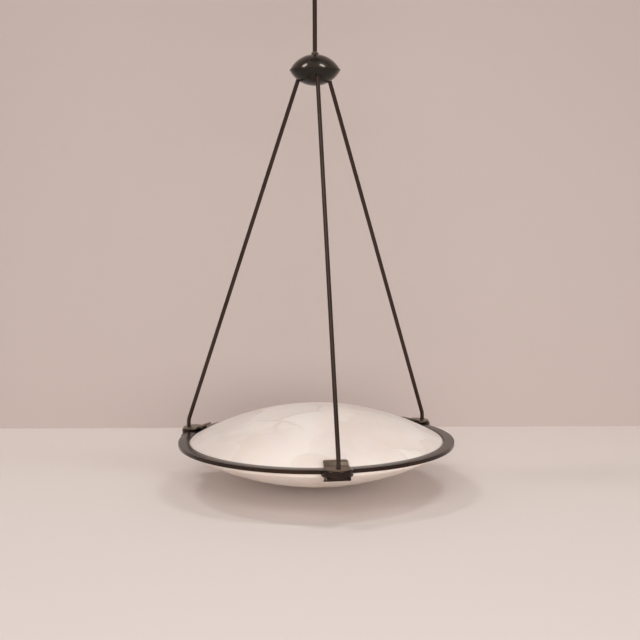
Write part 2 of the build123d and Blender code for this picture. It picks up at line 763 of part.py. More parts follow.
# Lamp carrier: a disc with three arms out to the lugs and three tabs for the lampholders
tab_face = carrier_disc / 2
holder_z = (arm_top + arm_bottom) / 2
with BuildPart() as lamp_carrier:
    with BuildSketch(Plane.XY.offset(arm_bottom)):
        Circle(carrier_disc / 2)
    extrude(amount=arm_thickness - seat_gap)
    for angle in stations.values():
        with BuildSketch(level(angle, arm_bottom)):
            with Locations((rod_axis / 2, 0)):
                Rectangle(rod_axis, arm_width)
            with Locations((rod_axis, 0)):
                Circle(arm_eye / 2)
                Circle(rod_stud_diameter / 2 + slip, mode=Mode.SUBTRACT)
        extrude(amount=arm_thickness - seat_gap)
        with BuildSketch(upright(angle + 150).offset(tab_face - holder_tab_thickness)):
            with Locations((0, holder_z)):
                RectangleRounded(holder_tab_width, holder_tab_height, 4)
        extrude(amount=holder_tab_thickness)
        with BuildSketch(upright(angle + 150).offset(tab_face - nipple_length - 1)):
            with Locations((0, holder_z)):
                Circle(holder_nipple / 2 + slip)
        extrude(amount=nipple_length + 2, mode=Mode.SUBTRACT)
lamp_carrier.part.label = "lamp_carrier"
export_step(lamp_carrier.part, "parts/lamp_carrier.step")

# Lampholders and bulbs, lying outward between the arms
for number, angle in stations.items():
    tag = "_" + str(number)
    outward = upright(angle + 60)
    holder_start = tab_face + seat_gap
    holder_end = holder_start + holder_length
    lamp_axis = Axis((0, 0, holder_z), heading(angle + 60))
    with BuildPart() as lampholder:
        with BuildSketch(outward):
            with BuildLine():
                Polyline(
                    (holder_start - nipple_length, holder_z),
                    (holder_start - nipple_length, holder_z + holder_nipple / 2),
                    (holder_start, holder_z + holder_nipple / 2),
                    (holder_start, holder_z + holder_diameter / 2 - 5),
                    (holder_start + 8, holder_z + holder_diameter / 2),
                    (holder_end, holder_z + holder_diameter / 2),
                    (holder_end, holder_z + cap_diameter / 2 + rest_gap),
                    (holder_end - socket_depth, holder_z + cap_diameter / 2 + rest_gap),
                    (holder_end - socket_depth, holder_z),
                    close=True,
                )
            make_face()
        revolve(axis=lamp_axis)
    lampholder.part.label = "lampholder" + tag
    export_step(lampholder.part, "parts/lampholder" + tag + ".step")

    bulb_start = holder_end - socket_depth + rest_gap
    globe = bulb_diameter / 2
    with BuildPart() as bulb:
        with BuildSketch(outward):
            with BuildLine():
                cap_side = Polyline(
                    (bulb_start + socket_depth + bulb_length, holder_z),
                    (bulb_start, holder_z),
                    (bulb_start, holder_z + 5),
                    (bulb_start + 4, holder_z + cap_diameter / 2),
                    (bulb_start + socket_depth - 1, holder_z + cap_diameter / 2),
                )
                Spline(
                    (bulb_start + socket_depth - 1, holder_z + cap_diameter / 2),
                    (bulb_start + socket_depth + bulb_length - globe, holder_z + globe),
                    (bulb_start + socket_depth + bulb_length, holder_z),
                    tangents=((1, 0.15), (1, 0), (0, -1)),
                )
            make_face()
        revolve(axis=lamp_axis)
        cap_end = bulb.faces().filter_by(GeomType.PLANE)
        offset(amount=-bulb_wall, openings=cap_end)
    bulb.part.label = "bulb" + tag
    export_step(bulb.part, "parts/bulb" + tag + ".step")

# Terminal block on the carrier disc, with its two fixing screws
with BuildPart() as terminal_block:
    with BuildSketch(Plane.XY.offset(arm_top + seat_gap)):
        Rectangle(block_length, block_width)
    extrude(amount=block_height)
    chamfer(terminal_block.edges().filter_by(Axis.Z), 1.0)
    with BuildSketch(Plane.XY.offset(arm_top + block_height - 4)):
        with Locations((-5, 4.5), (5, 4.5), (-5, -4.5), (5, -4.5)):
            Circle(2.4)
    extrude(amount=5, mode=Mode.SUBTRACT)
    with BuildSketch(Plane.XY.offset(arm_top)):
        with Locations((-11.5, 0), (11.5, 0)):
            Circle(1.6)
    extrude(amount=block_height + 1, mode=Mode.SUBTRACT)
terminal_block.part.label = "terminal_block"
export_step(terminal_block.part, "parts/terminal_block.step")

with BuildPart() as block_screws:
    with BuildSketch(Plane.XY.offset(arm_top + seat_gap)):
        with Locations((-11.5, 0), (11.5, 0)):
            Circle(1.5)
    extrude(amount=block_height + seat_gap)
    with BuildSketch(Plane.XY.offset(arm_top + 2 * seat_gap + block_height)):
        with Locations((-11.5, 0), (11.5, 0)):
            Circle(2.7)
    extrude(amount=1.6)
block_screws.part.label = "block_screws"
export_step(block_screws.part, "parts/block_screws.step")
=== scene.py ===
"""Ceiling lamp: two alabaster dishes in a dark bronze hoop, hung on three rods from a hub and a stem."""

from __future__ import annotations

import json
import logging
import math
from dataclasses import dataclass, field
from enum import Enum
from typing import Callable, Optional, Sequence, Union

import bmesh
import bpy
from mathutils import Matrix, Vector

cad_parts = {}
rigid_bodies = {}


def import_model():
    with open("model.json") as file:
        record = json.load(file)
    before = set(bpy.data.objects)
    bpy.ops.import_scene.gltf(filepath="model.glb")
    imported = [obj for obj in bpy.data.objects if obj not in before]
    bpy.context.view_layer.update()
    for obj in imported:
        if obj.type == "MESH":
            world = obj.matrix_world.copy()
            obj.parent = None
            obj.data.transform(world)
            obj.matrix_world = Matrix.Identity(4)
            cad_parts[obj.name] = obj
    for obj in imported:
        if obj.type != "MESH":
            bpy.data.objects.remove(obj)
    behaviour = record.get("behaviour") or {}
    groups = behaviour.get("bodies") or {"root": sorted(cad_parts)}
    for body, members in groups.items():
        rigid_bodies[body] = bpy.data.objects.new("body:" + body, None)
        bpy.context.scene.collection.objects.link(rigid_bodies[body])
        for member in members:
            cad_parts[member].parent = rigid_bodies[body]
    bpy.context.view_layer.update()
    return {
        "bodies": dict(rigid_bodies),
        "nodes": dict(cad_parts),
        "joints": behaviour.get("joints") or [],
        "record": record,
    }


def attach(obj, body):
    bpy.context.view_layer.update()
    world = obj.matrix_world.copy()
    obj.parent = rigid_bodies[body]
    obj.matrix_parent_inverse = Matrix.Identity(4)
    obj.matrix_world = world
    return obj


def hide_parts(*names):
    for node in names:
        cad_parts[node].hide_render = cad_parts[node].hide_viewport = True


LOG = logging.getLogger("lamp")
MM = 0.001
UP = (0.0, 0.0, 1.0)
ACROSS = (0.0, 1.0, 0.0)

# Gaps below which points are merged, after drawing and after a cut
MERGE_GAP = 0.005 * MM
MEND_GAP = 0.001 * MM

# How far a cutting tool starts outside a piece, and how far it runs through it, in millimetres
CLEAR = 5.0
THROUGH = 30.0

# A nut's corner relief and end face as shares, and the spare round its corners in millimetres
NUT_RELIEF = 0.55
NUT_FACE = 0.97
NUT_SPARE = 0.05

# Faces round a softened edge, and the angle in degrees below which an edge is left
SOFT_FACES = 2
SOFT_ANGLE = 35.0

# How far two ends may differ and still be one line or one front, in millimetres
SAME_LINE = 0.01
SAME_FRONT = 0.1

# Socket numbers of a colour mix node
MIX_SHARE = 0
MIX_FIRST = 6
MIX_SECOND = 7
MIX_RESULT = 2

# The middle of a noise colour, and the depth of the fine grain in metres
HALF = (0.5, 0.5, 0.5)
GRAIN_DEPTH = 0.0002

Place = tuple[float, float, float]
Colour = tuple[float, float, float]
Values = dict[Union[str, int], Union[float, Place]]
Piece = bpy.types.Object
Material = bpy.types.Material
Tree = bpy.types.NodeTree
Node = bpy.types.Node
Socket = bpy.types.NodeSocket


class Body(Enum):
    """The moving bodies that a piece can ride on."""

    PENDANT = "pendant"
    CANOPY = "canopy"
    HUB_COVER = "hub_cover"
    CLIP_1 = "clip_1"
    CLIP_2 = "clip_2"
    CLIP_3 = "clip_3"


class Slot(Enum):
    """The material slots of the lamp."""

    BRONZE = "dark_bronze"
    STEEL = "zinc_steel"
    RUBBER = "rubber"
    CERAMIC = "white_ceramic"
    ALABASTER = "alabaster"
    BULB = "opal_bulb"


class Side(Enum):
    """Which way a dish's crown points."""

    UPPER = 1
    LOWER = -1


class Cut(Enum):
    """What a cutting tool does to a piece."""

    AWAY = "DIFFERENCE"
    TRIM = "INTERSECT"


class Smooth(Enum):
    """The angle, in degrees, below which a kind of surface is shaded smooth."""

    SPUN = 40.0
    PLATE = 32.0
    TURNED = 30.0
    SCREW = 25.0
    HEXAGON = 20.0


def linear(colour: Colour) -> tuple[float, float, float, float]:
    """Turn a colour of 0 to 255 per channel into linear light.

    Args:
        colour: Red, green and blue as read from a screen.

    Returns:
        The linear colour with an alpha of one.
    """
    channels = []
    for level in colour:
        share = level / 255.0
        channels.append(share / 12.92 if share <= 0.04045 else ((share + 0.055) / 1.055) ** 2.4)
    return (channels[0], channels[1], channels[2], 1.0)


@dataclass(frozen=True)
class Levels:
    """Heights and radii, in millimetres, that several sub-assemblies share."""

    ring_z: float = -955.0
    hub_z: float = -235.0
    dish_radius: float = 250.0
    dish_land: float = 6.5
    ring_inner: float = 250.8
    ring_outer: float = 271.5
    ring_thickness: float = 7.2
    rest_gap: float = 0.3
    seat_gap: float = 0.05
    slip: float = 0.1
    arm_thickness: float = 3.0
    rod_axis: float = 285.0
    lug_rise: float = 1.8
    clip_gap: float = 0.2
    clip_plate: float = 3.0
    stem_radius: float = 4.3
    lower_clip_base: float = 4.6

    @property
    def ring_top(self) -> float:
        """Height of the ring's upper face."""
        return self.ring_z + self.ring_thickness / 2

    @property
    def ring_bottom(self) -> float:
        """Height of the ring's lower face."""
        return self.ring_z - self.ring_thickness / 2

    @property
    def arm_top(self) -> float:
        """Height of the carrier arms' upper face, where the upper dish stands."""
        return self.ring_bottom - self.rest_gap

    @property
    def arm_bottom(self) -> float:
        """Height of the carrier arms' lower face, where the lower dish hangs."""
        return self.arm_top - self.arm_thickness

    @property
    def lug_top(self) -> float:
        """Height of a lug's upper face."""
        return self.ring_top + self.lug_rise

    @property
    def clip_bottom(self) -> float:
        """Height of a swivel clip's lower face."""
        return self.lug_top + self.clip_gap

    @property
    def clip_top(self) -> float:
        """Height of a swivel clip's upper face."""
        return self.clip_bottom + self.clip_plate

    @property
    def lower_clip_bottom(self) -> float:
        """Height of a lower clip's base."""
        return self.arm_bottom - self.lower_clip_base


class Workbench:
    """One new mesh, opened in edit mode and shaped with mesh operators, in millimetres."""

    def __init__(self, name: str) -> None:
        """Keep the name that the finished piece gets.

        Args:
            name: The finished piece's name.
        """
        self.name = name
        self.pen = Vector((0.0, 0.0, 0.0))
        self.piece: Optional[Piece] = None

    @staticmethod
    def clear() -> None:
        """Leave edit mode and deselect every object."""
        active = bpy.context.view_layer.objects.active
        if active is not None and active.mode != "OBJECT":
            bpy.ops.object.mode_set(mode="OBJECT")
        bpy.ops.object.select_all(action="DESELECT")

    def _adopt(self, place: Place) -> None:
        """Take the primitive that was just added as this piece, open it and set the pen to a place.

        Args:
            place: Where the pen stands.
        """
        self.piece = bpy.context.object
        self.piece.name = self.name
        self.piece.data.name = self.name
        bpy.ops.object.mode_set(mode="EDIT")
        bpy.ops.mesh.select_all(action="SELECT")
        self.pen = Vector(place)

    def point(self, place: Place) -> "Workbench":
        """Start the mesh as one point, the pen of an outline.

        Args:
            place: The point's place.

        Returns:
            This bench, so that steps can follow on.
        """
        self.clear()
        bpy.ops.mesh.primitive_plane_add(size=10 * MM, location=(0, 0, 0))
        self._adopt(place)
        bpy.ops.mesh.merge(type="CENTER")
        bpy.ops.transform.translate(value=self.pen * MM)
        return self

    def disc(self, radius: float, place: Place, sides: int = 40) -> "Workbench":
        """Start the mesh as a filled level disc.

        Args:
            radius: The disc's radius.
            place: The disc's centre.
            sides: How many corners it has.

        Returns:
            This bench.
        """
        self.clear()
        bpy.ops.mesh.primitive_circle_add(
            vertices=sides, radius=radius * MM, fill_type="NGON", location=(0, 0, 0)
        )
        self._adopt(place)
        bpy.ops.transform.translate(value=self.pen * MM)
        return self

    def raise_by(self, step: Place) -> "Workbench":
        """Extrude what is selected by a step.

        Args:
            step: The way from here to the new place.

        Returns:
            This bench.
        """
        bpy.ops.mesh.extrude_region_move(TRANSFORM_OT_translate={"value": Vector(step) * MM})
        self.pen = self.pen + Vector(step)
        return self

    def taper(self, step: Place, share: float) -> "Workbench":
        """Extrude the selected level face by a step and scale it about its own centre.

        Args:
            step: The way to the new face.
            share: The new face's size over the old one's.

        Returns:
            This bench.
        """
        self.raise_by(step)
        bpy.ops.transform.resize(value=(share, share, 1.0), center_override=self.pen * MM)
        return self

    def lines(self, *places: Place) -> "Workbench":
        """Extrude what is selected in straight lines, so that the pen gets to each place in turn.

        Args:
            *places: The places.

        Returns:
            This bench.
        """
        for place in places:
            self.raise_by(Vector(place) - self.pen)
            self.pen = Vector(place)
        return self

    def arc(self, centre: Place, degrees: float, steps: int, axis: Place = ACROSS) -> "Workbench":
        """Spin what is selected round a centre, by the right-hand rule about an axis.

        Args:
            centre: A point on the axis.
            degrees: The turn.
            steps: How many straight pieces the arc gets.
            axis: The direction of the axis.

        Returns:
            This bench.
        """
        middle = Vector(centre)
        angle = math.radians(degrees)
        bpy.ops.mesh.spin(steps=steps, angle=-angle, center=middle * MM, axis=axis, use_auto_merge=False)
        self.pen = middle + Matrix.Rotation(angle, 3, Vector(axis)) @ (self.pen - middle)
        return self

    def route(self, corners: Sequence[Place], radii: Sequence[float], steps: int = 5) -> "Workbench":
        """Run the pen along straight lines with rounded corners.

        Args:
            corners: The corner points after the pen's own place.
            radii: The radius at each corner but the last one; zero leaves it sharp.
            steps: How many straight pieces each rounded corner gets.

        Returns:
            This bench.
        """
        for index, corner in enumerate(corners):
            here = Vector(corner)
            radius = radii[index] if index < len(radii) else 0.0
            if radius <= 0 or index + 1 == len(corners):
                self.lines(here)
                continue
            arriving = (here - self.pen).normalized()
            leaving = (Vector(corners[index + 1]) - here).normalized()
            turn = arriving.angle(leaving)
            axis = arriving.cross(leaving).normalized()
            start = here - arriving * radius * math.tan(turn / 2)
            self.lines(start)
            self.arc(start + axis.cross(arriving) * radius, math.degrees(turn), steps, axis)
        return self

    def fill(self) -> "Workbench":
        """Close the outline into one face, with all of it selected.

        Returns:
            This bench.
        """
        bpy.ops.mesh.select_all(action="SELECT")
        bpy.ops.mesh.remove_doubles(threshold=MERGE_GAP)
        bpy.ops.mesh.edge_face_add()
        return self

    def revolve(self, steps: int) -> "Workbench":
        """Spin the whole outline once round the lamp's axis.

        Args:
            steps: How many faces go round.

        Returns:
            This bench.
        """
        bpy.ops.mesh.select_all(action="SELECT")
        bpy.ops.mesh.spin(steps=steps, angle=2 * math.pi, center=(0, 0, 0), axis=UP, use_auto_merge=True)
        return self.seal()

    def seal(self) -> "Workbench":
        """Merge the doubled points and turn every face outward.

        Returns:
            This bench.
        """
        bpy.ops.mesh.select_all(action="SELECT")
        bpy.ops.mesh.remove_doubles(threshold=MERGE_GAP)
        bpy.ops.mesh.normals_make_consistent(inside=False)
        return self

    def bevel(self, test: Callable[[Vector, Vector], bool], width: float, segments: int) -> "Workbench":
        """Bevel the edges whose two ends pass a test.

        Args:
            test: Tells from an edge's ends, in millimetres, whether it is bevelled.
            width: The bevel's width.
            segments: How many faces it gets.

        Returns:
            This bench.
        """
        bpy.ops.mesh.select_all(action="DESELECT")
        bpy.ops.mesh.select_mode(type="EDGE")
        mesh = bmesh.from_edit_mesh(self.piece.data)
        for edge in mesh.edges:
            ends = [vertex.co / MM for vertex in edge.verts]
            edge.select_set(test(ends[0], ends[1]))
        mesh.select_flush_mode()
        bmesh.update_edit_mesh(self.piece.data)
        bpy.ops.mesh.bevel(offset=width * MM, segments=segments, affect="EDGES", clamp_overlap=True)
        bpy.ops.mesh.select_mode(type="VERT")
        return self

    def done(self, smooth: Smooth = Smooth.PLATE) -> Piece:
        """Leave edit mode, smooth the shading and hand the piece over.

        Args:
            smooth: The kind of surface.

        Returns:
            The finished piece.
        """
        bpy.ops.object.mode_set(mode="OBJECT")
        shade(self.piece, smooth)
        return self.piece


def take_up(piece: Piece) -> None:
    """Select one piece alone and make it the active one.

    Args:
        piece: The piece.
    """
    Workbench.clear()
    piece.select_set(True)
    bpy.context.view_layer.objects.active = piece


def shade(piece: Piece, smooth: Smooth) -> None:
    """Smooth a piece's shading where its faces meet below an angle."""
    take_up(piece)
    bpy.ops.object.shade_smooth_by_angle(angle=math.radians(smooth.value), keep_sharp_edges=False)


def discard(piece: Piece) -> None:
    """Delete a tool or a pattern that has served.

    Args:
        piece: The tool or the pattern.
    """
    mesh = piece.data
    bpy.data.objects.remove(piece)
    bpy.data.meshes.remove(mesh)


def peg(radius: float, foot: Place, height: float, sides: int = 40) -> Piece:
    """Make a round upright cutting tool.

    Args:
        radius: Its radius.
        foot: The centre of its lower face.
        height: Its height.
        sides: How many corners it has.

    Returns:
        The tool.
    """
    return Workbench("peg").disc(radius, foot, sides).raise_by((0, 0, height)).seal().done()


def cut(piece: Piece, tool: Piece, how: Cut = Cut.AWAY) -> None:
    """Cut a piece, delete the tool, and merge the points that the cut left on top of each other.

    Args:
        piece: The mesh that stays.
        tool: The mesh that cuts it.
        how: The kind of cut.
    """
    modifier = piece.modifiers.new("cut", "BOOLEAN")
    modifier.operation = how.value
    modifier.solver = "EXACT"
    modifier.object = tool
    take_up(piece)
    bpy.ops.object.modifier_apply(modifier=modifier.name)
    discard(tool)
    take_up(piece)
    bpy.ops.object.mode_set(mode="EDIT")
    bpy.ops.mesh.select_all(action="SELECT")
    bpy.ops.mesh.remove_doubles(threshold=MEND_GAP)
    bpy.ops.mesh.dissolve_degenerate(threshold=MEND_GAP)
    bpy.ops.object.mode_set(mode="OBJECT")


def soften(piece: Piece, width: float) -> None:
    """Round every sharp edge of a piece by a width in millimetres.

    Args:
        piece: The mesh.
        width: The bevel's width.
    """
    modifier = piece.modifiers.new("soften", "BEVEL")
    modifier.width = width * MM
    modifier.segments = SOFT_FACES
    modifier.limit_method = "ANGLE"
    modifier.angle_limit = math.radians(SOFT_ANGLE)
    take_up(piece)
    bpy.ops.object.modifier_apply(modifier=modifier.name)
    shade(piece, Smooth.PLATE)


def lay_forward(piece: Piece, height: float) -> None:
    """Lay an upright mesh toward the front at a height in millimetres."""
    piece.data.transform(Matrix.Translation((0, 0, height * MM)) @ Matrix.Rotation(math.radians(90), 4, "X"))


def turned_copy(piece: Piece, name: str, degrees: float) -> Piece:
    """Copy a piece with a mesh of its own and turn that mesh about the lamp's axis.

    Args:
        piece: The piece to copy.
        name: The copy's name.
        degrees: The turn.

    Returns:
        The copy.
    """
    copy = piece.copy()
    copy.data = piece.data.copy()
    copy.name = name
    copy.data.name = name
    bpy.context.scene.collection.objects.link(copy)
    copy.data.transform(Matrix.Rotation(math.radians(degrees), 4, "Z"))
    return copy


def joined(pieces: Sequence[Piece], name: str) -> Piece:
    """Join several meshes into one piece.

    Args:
        pieces: The meshes; the first one stays.
        name: The joined piece's name.

    Returns:
        The joined object.
    """
    take_up(pieces[0])
    for piece in pieces:
        piece.select_set(True)
    bpy.ops.object.join()
    pieces[0].name = name
    pieces[0].data.name = name
    return pieces[0]


def hexagon_nut(name: str, flats: float, height: float, bore: float, foot: Place) -> Piece:
    """Model a hexagon nut with turned-off corners.

    Args:
        name: The nut's name.
        flats: Its size across flats.
        height: Its height.
        bore: The radius of its hole.
        foot: The centre of its lower face.

    Returns:
        The nut.
    """
    corner = flats / math.sqrt(3)
    relief = (corner - flats / 2) * NUT_RELIEF
    face = flats / 2 * NUT_FACE
    girth = corner + NUT_SPARE
    cone = Workbench("cone").disc(face, foot, 64)
    cone.taper((0, 0, relief), girth / face)
    cone.raise_by((0, 0, height - 2 * relief))
    cone.taper((0, 0, relief), face / girth)
    turned = cone.seal().done()
    nut = Workbench(name).disc(corner, foot, 6).raise_by((0, 0, height)).seal().done()
    cut(nut, turned, Cut.TRIM)
    cut(nut, peg(bore, (foot[0], foot[1], foot[2] - CLEAR), height + 2 * CLEAR, 32))
    shade(nut, Smooth.HEXAGON)
    return nut


def add_node(tree: Tree, kind: str, operation: str = "", values: Optional[Values] = None) -> Node:
    """Add a shader node with its operation and its own values.

    Args:
        tree: The node tree.
        kind: The node's type, without its first words.
        operation: What a maths node does; empty for other nodes.
        values: Input values by socket name or number.

    Returns:
        The node.
    """
    node = tree.nodes.new("ShaderNode" + kind)
    if operation:
        node.operation = operation
    for socket, value in (values or {}).items():
        node.inputs[socket].default_value = value
    return node


def wire(tree: Tree, *pairs: tuple[Socket, Socket]) -> None:
    """Link each pair of an output and an input."""
    for source, target in pairs:
        tree.links.new(source, target)


def product(tree: Tree, mask: Socket, share: Union[float, Socket]) -> Socket:
    """Multiply a mask by a share or by another mask.

    Args:
        tree: The node tree.
        mask: The mask.
        share: A number or another mask.

    Returns:
        The product.
    """
    node = add_node(tree, "Math", "MULTIPLY")
    wire(tree, (mask, node.inputs[0]))
    if isinstance(share, float):
        node.inputs[1].default_value = share
    else:
        wire(tree, (share, node.inputs[1]))
    return node.outputs[0]


def blend(tree: Tree, mask: Socket, first: Union[Colour, Socket], second: Colour) -> Socket:
    """Lay a second colour over a first one where a mask says so.

    Args:
        tree: The node tree.
        mask: The mask.
        first: A plain colour, or the colour that another node puts out.
        second: The colour on top.

    Returns:
        The mixed colour.
    """
    mix = add_node(tree, "Mix")
    mix.data_type = "RGBA"
    mix.inputs[MIX_SECOND].default_value = linear(second)
    if isinstance(first, tuple):
        mix.inputs[MIX_FIRST].default_value = linear(first)
    else:
        wire(tree, (first, mix.inputs[MIX_FIRST]))
    wire(tree, (mask, mix.inputs[MIX_SHARE]))
    return mix.outputs[MIX_RESULT]


class Effects:
    """Shader node groups that several finishes share, each built once."""

    def __init__(self) -> None:
        """Build the groups."""
        self.clouds = self._clouds()
        self.cells = self._cells()
        self.handling = self._handling()

    @staticmethod
    def _begin(name: str, inputs: dict[str, float], outputs: Sequence[str]) -> tuple[Tree, Node, Node]:
        """Start a group that takes a place and named values.

        Args:
            name: The group's name.
            inputs: Its values by name.
            outputs: The names of what it puts out.

        Returns:
            The group, its input node and its output node.
        """
        group = bpy.data.node_groups.new(name, "ShaderNodeTree")
        group.interface.new_socket(name="Place", in_out="INPUT", socket_type="NodeSocketVector")
        for label, value in inputs.items():
            socket = group.interface.new_socket(name=label, in_out="INPUT", socket_type="NodeSocketFloat")
            socket.default_value = value
        for label in outputs:
            group.interface.new_socket(name=label, in_out="OUTPUT", socket_type="NodeSocketFloat")
        return group, group.nodes.new("NodeGroupInput"), group.nodes.new("NodeGroupOutput")

    @staticmethod
    def _drifted(group: Tree, start: Node, scale: float, detail: float) -> Socket:
        """Let the group's place drift by a noise, as far as its Warp says.

        Args:
            group: The group.
            start: Its input node.
            scale: The noise's scale.
            detail: The noise's detail.

        Returns:
            The moved place.
        """
        drift = add_node(group, "TexNoise", values={"Scale": scale, "Detail": detail})
        centre = add_node(group, "VectorMath", "SUBTRACT", {1: HALF})
        spread = add_node(group, "VectorMath", "SCALE")
        moved = add_node(group, "VectorMath", "ADD")
        wire(
            group,
            (start.outputs["Place"], drift.inputs["Vector"]),
            (drift.outputs["Color"], centre.inputs[0]),
            (centre.outputs[0], spread.inputs[0]),
            (start.outputs["Warp"], spread.inputs["Scale"]),
            (start.outputs["Place"], moved.inputs[0]),
            (spread.outputs[0], moved.inputs[1]),
        )
        return moved.outputs[0]

    def _clouds(self) -> Tree:
        """Build the group of soft warped clouds.

        Returns:
            A group with a mask that goes from zero to one between two limits.
        """
        values = {"Scale": 6.0, "Warp": 0.1, "Low": 0.4, "High": 0.7}
        group, start, end = self._begin("soft_clouds", values, ("Mask",))
        noise = add_node(group, "TexNoise", values={"Detail": 5.0, "Roughness": 0.55})
        window = add_node(group, "MapRange")
        window.interpolation_type = "SMOOTHSTEP"
        wire(
            group,
            (self._drifted(group, start, 3.5, 2.0), noise.inputs["Vector"]),
            (start.outputs["Scale"], noise.inputs["Scale"]),
            (noise.outputs["Fac"], window.inputs["Value"]),
            (start.outputs["Low"], window.inputs["From Min"]),
            (start.outputs["High"], window.inputs["From Max"]),
            (window.outputs[0], end.inputs["Mask"]),
        )
        return group

    def _cells(self) -> Tree:
        """Build the group of warped cells, as in stone that broke and healed.

        Returns:
            A group with a tone that grades across each cell and a mask along the seams between cells.
        """
        values = {"Scale": 6.0, "Warp": 0.1, "Seam": 0.06}
        group, start, end = self._begin("stone_cells", values, ("Tone", "Mask"))
        place = self._drifted(group, start, 7.0, 4.0)
        cell = add_node(group, "TexVoronoi")
        seam = add_node(group, "TexVoronoi")
        seam.feature = "DISTANCE_TO_EDGE"
        window = add_node(group, "MapRange", values={"To Min": 1.0, "To Max": 0.0})
        window.interpolation_type = "SMOOTHSTEP"
        away = add_node(group, "VectorMath", "SUBTRACT")
        lean = add_node(group, "VectorMath", "SUBTRACT", {1: HALF})
        slope = add_node(group, "VectorMath", "DOT_PRODUCT")
        tone = add_node(group, "MapRange", values={"From Min": -0.2, "From Max": 0.25})
        wire(
            group,
            (place, cell.inputs["Vector"]),
            (place, seam.inputs["Vector"]),
            (start.outputs["Scale"], cell.inputs["Scale"]),
            (start.outputs["Scale"], seam.inputs["Scale"]),
            (seam.outputs["Distance"], window.inputs["Value"]),
            (start.outputs["Seam"], window.inputs["From Max"]),
            (place, away.inputs[0]),
            (cell.outputs["Position"], away.inputs[1]),
            (cell.outputs["Color"], lean.inputs[0]),
            (away.outputs[0], slope.inputs[0]),
            (lean.outputs[0], slope.inputs[1]),
            (product(group, slope.outputs["Value"], start.outputs["Scale"]), tone.inputs["Value"]),
            (tone.outputs[0], end.inputs["Tone"]),
            (window.outputs[0], end.inputs["Mask"]),
        )
        return group

    def _handling(self) -> Tree:
        """Build the group of faint wiping marks and fine grain.

        Returns:
            A group with a roughness that wanders round a level, and a fine height for bumps.
        """
        values = {"Roughness": 0.3, "Spread": 0.06, "Grain": 900.0}
        group, start, end = self._begin("handling_marks", values, ("Roughness", "Height"))
        smudge = add_node(group, "TexNoise", values={"Scale": 22.0, "Detail": 4.0})
        shift = add_node(group, "Math", "SUBTRACT", {1: 0.5})
        wander = add_node(group, "Math", "MULTIPLY_ADD")
        grain = add_node(group, "TexNoise", values={"Detail": 2.0})
        wire(
            group,
            (start.outputs["Place"], smudge.inputs["Vector"]),
            (smudge.outputs["Fac"], shift.inputs[0]),
            (shift.outputs[0], wander.inputs[0]),
            (start.outputs["Spread"], wander.inputs[1]),
            (start.outputs["Roughness"], wander.inputs[2]),
            (start.outputs["Place"], grain.inputs["Vector"]),
            (start.outputs["Grain"], grain.inputs["Scale"]),
            (wander.outputs[0], end.inputs["Roughness"]),
            (grain.outputs["Fac"], end.inputs["Height"]),
        )
        return group


@dataclass(frozen=True)
class Finish:
    """A surface finish: what every material of the lamp is made from."""

    name: str
    slot: Slot
    colour: Colour
    roughness: float
    spread: float = 0.06
    grain: float = 900.0
    bump: float = 0.02
    metallic: float = 0.0
    specular: float = 0.5

    @staticmethod
    def _effect(tree: Tree, group: Tree, shift: Place = (0.0, 0.0, 0.0), **values: float) -> Node:
        """Place a shared effect in a material, on Object coordinates, with its own values.

        Args:
            tree: The material's nodes.
            group: The effect.
            shift: How far the pattern is moved, in metres.
            **values: The effect's inputs by name.

        Returns:
            The group node.
        """
        node = add_node(tree, "Group")
        node.node_tree = group
        coordinates = add_node(tree, "TexCoord")
        moved = add_node(tree, "Mapping", values={"Location": shift})
        wire(
            tree,
            (coordinates.outputs["Object"], moved.inputs["Vector"]),
            (moved.outputs["Vector"], node.inputs["Place"]),
        )
        for name, value in values.items():
            node.inputs[name].default_value = value
        return node

    def _base(self, effects: Effects) -> tuple[Material, Node]:
        """Start the material with its plain values, a wandering roughness and a fine grain.

        Args:
            effects: The shared effects.

        Returns:
            The material and its shader.
        """
        material = bpy.data.materials.new(self.name)
        material.use_nodes = True
        tree = material.node_tree
        shader = tree.nodes["Principled BSDF"]
        shader.inputs["Base Color"].default_value = linear(self.colour)
        shader.inputs["Roughness"].default_value = self.roughness
        shader.inputs["Metallic"].default_value = self.metallic
        shader.inputs["Specular IOR Level"].default_value = self.specular
        marks = self._effect(
            tree, effects.handling, Roughness=self.roughness, Spread=self.spread, Grain=self.grain
        )
        bump = add_node(tree, "Bump", values={"Strength": self.bump, "Distance": GRAIN_DEPTH})
        wire(
            tree,
            (marks.outputs["Roughness"], shader.inputs["Roughness"]),
            (marks.outputs["Height"], bump.inputs["Height"]),
            (bump.outputs["Normal"], shader.inputs["Normal"]),
        )
        return material, shader

    def _clouded(self, tree: Tree, effects: Effects, second: Colour, scale: float) -> Socket:
        """Cloud the finish's own colour with a second colour.

        Args:
            tree: The material's nodes.
            effects: The shared effects.
            second: The colour of the clouds.
            scale: The clouds' scale.

        Returns:
            The mixed colour.
        """
        clouds = self._effect(tree, effects.clouds, Scale=scale, Warp=0.08, Low=0.42, High=0.68)
        return blend(tree, clouds.outputs["Mask"], self.colour, second)

    def make(self, effects: Effects) -> Material:
        """Build the plain material."""
        return self._base(effects)[0]


@dataclass(frozen=True)
class LacquerFinish(Finish):
    """Dark bronze under a thin brown lacquer, faintly clouded."""

    cloud: Colour = (50, 36, 28)
    cloud_scale: float = 14.0

    def make(self, effects: Effects) -> Material:
        """Build the lacquer.

        Args:
            effects: The shared effects.

        Returns:
            The material.
        """
        material, shader = self._base(effects)
        tree = material.node_tree
        wire(tree, (self._clouded(tree, effects, self.cloud, self.cloud_scale), shader.inputs["Base Color"]))
        return material


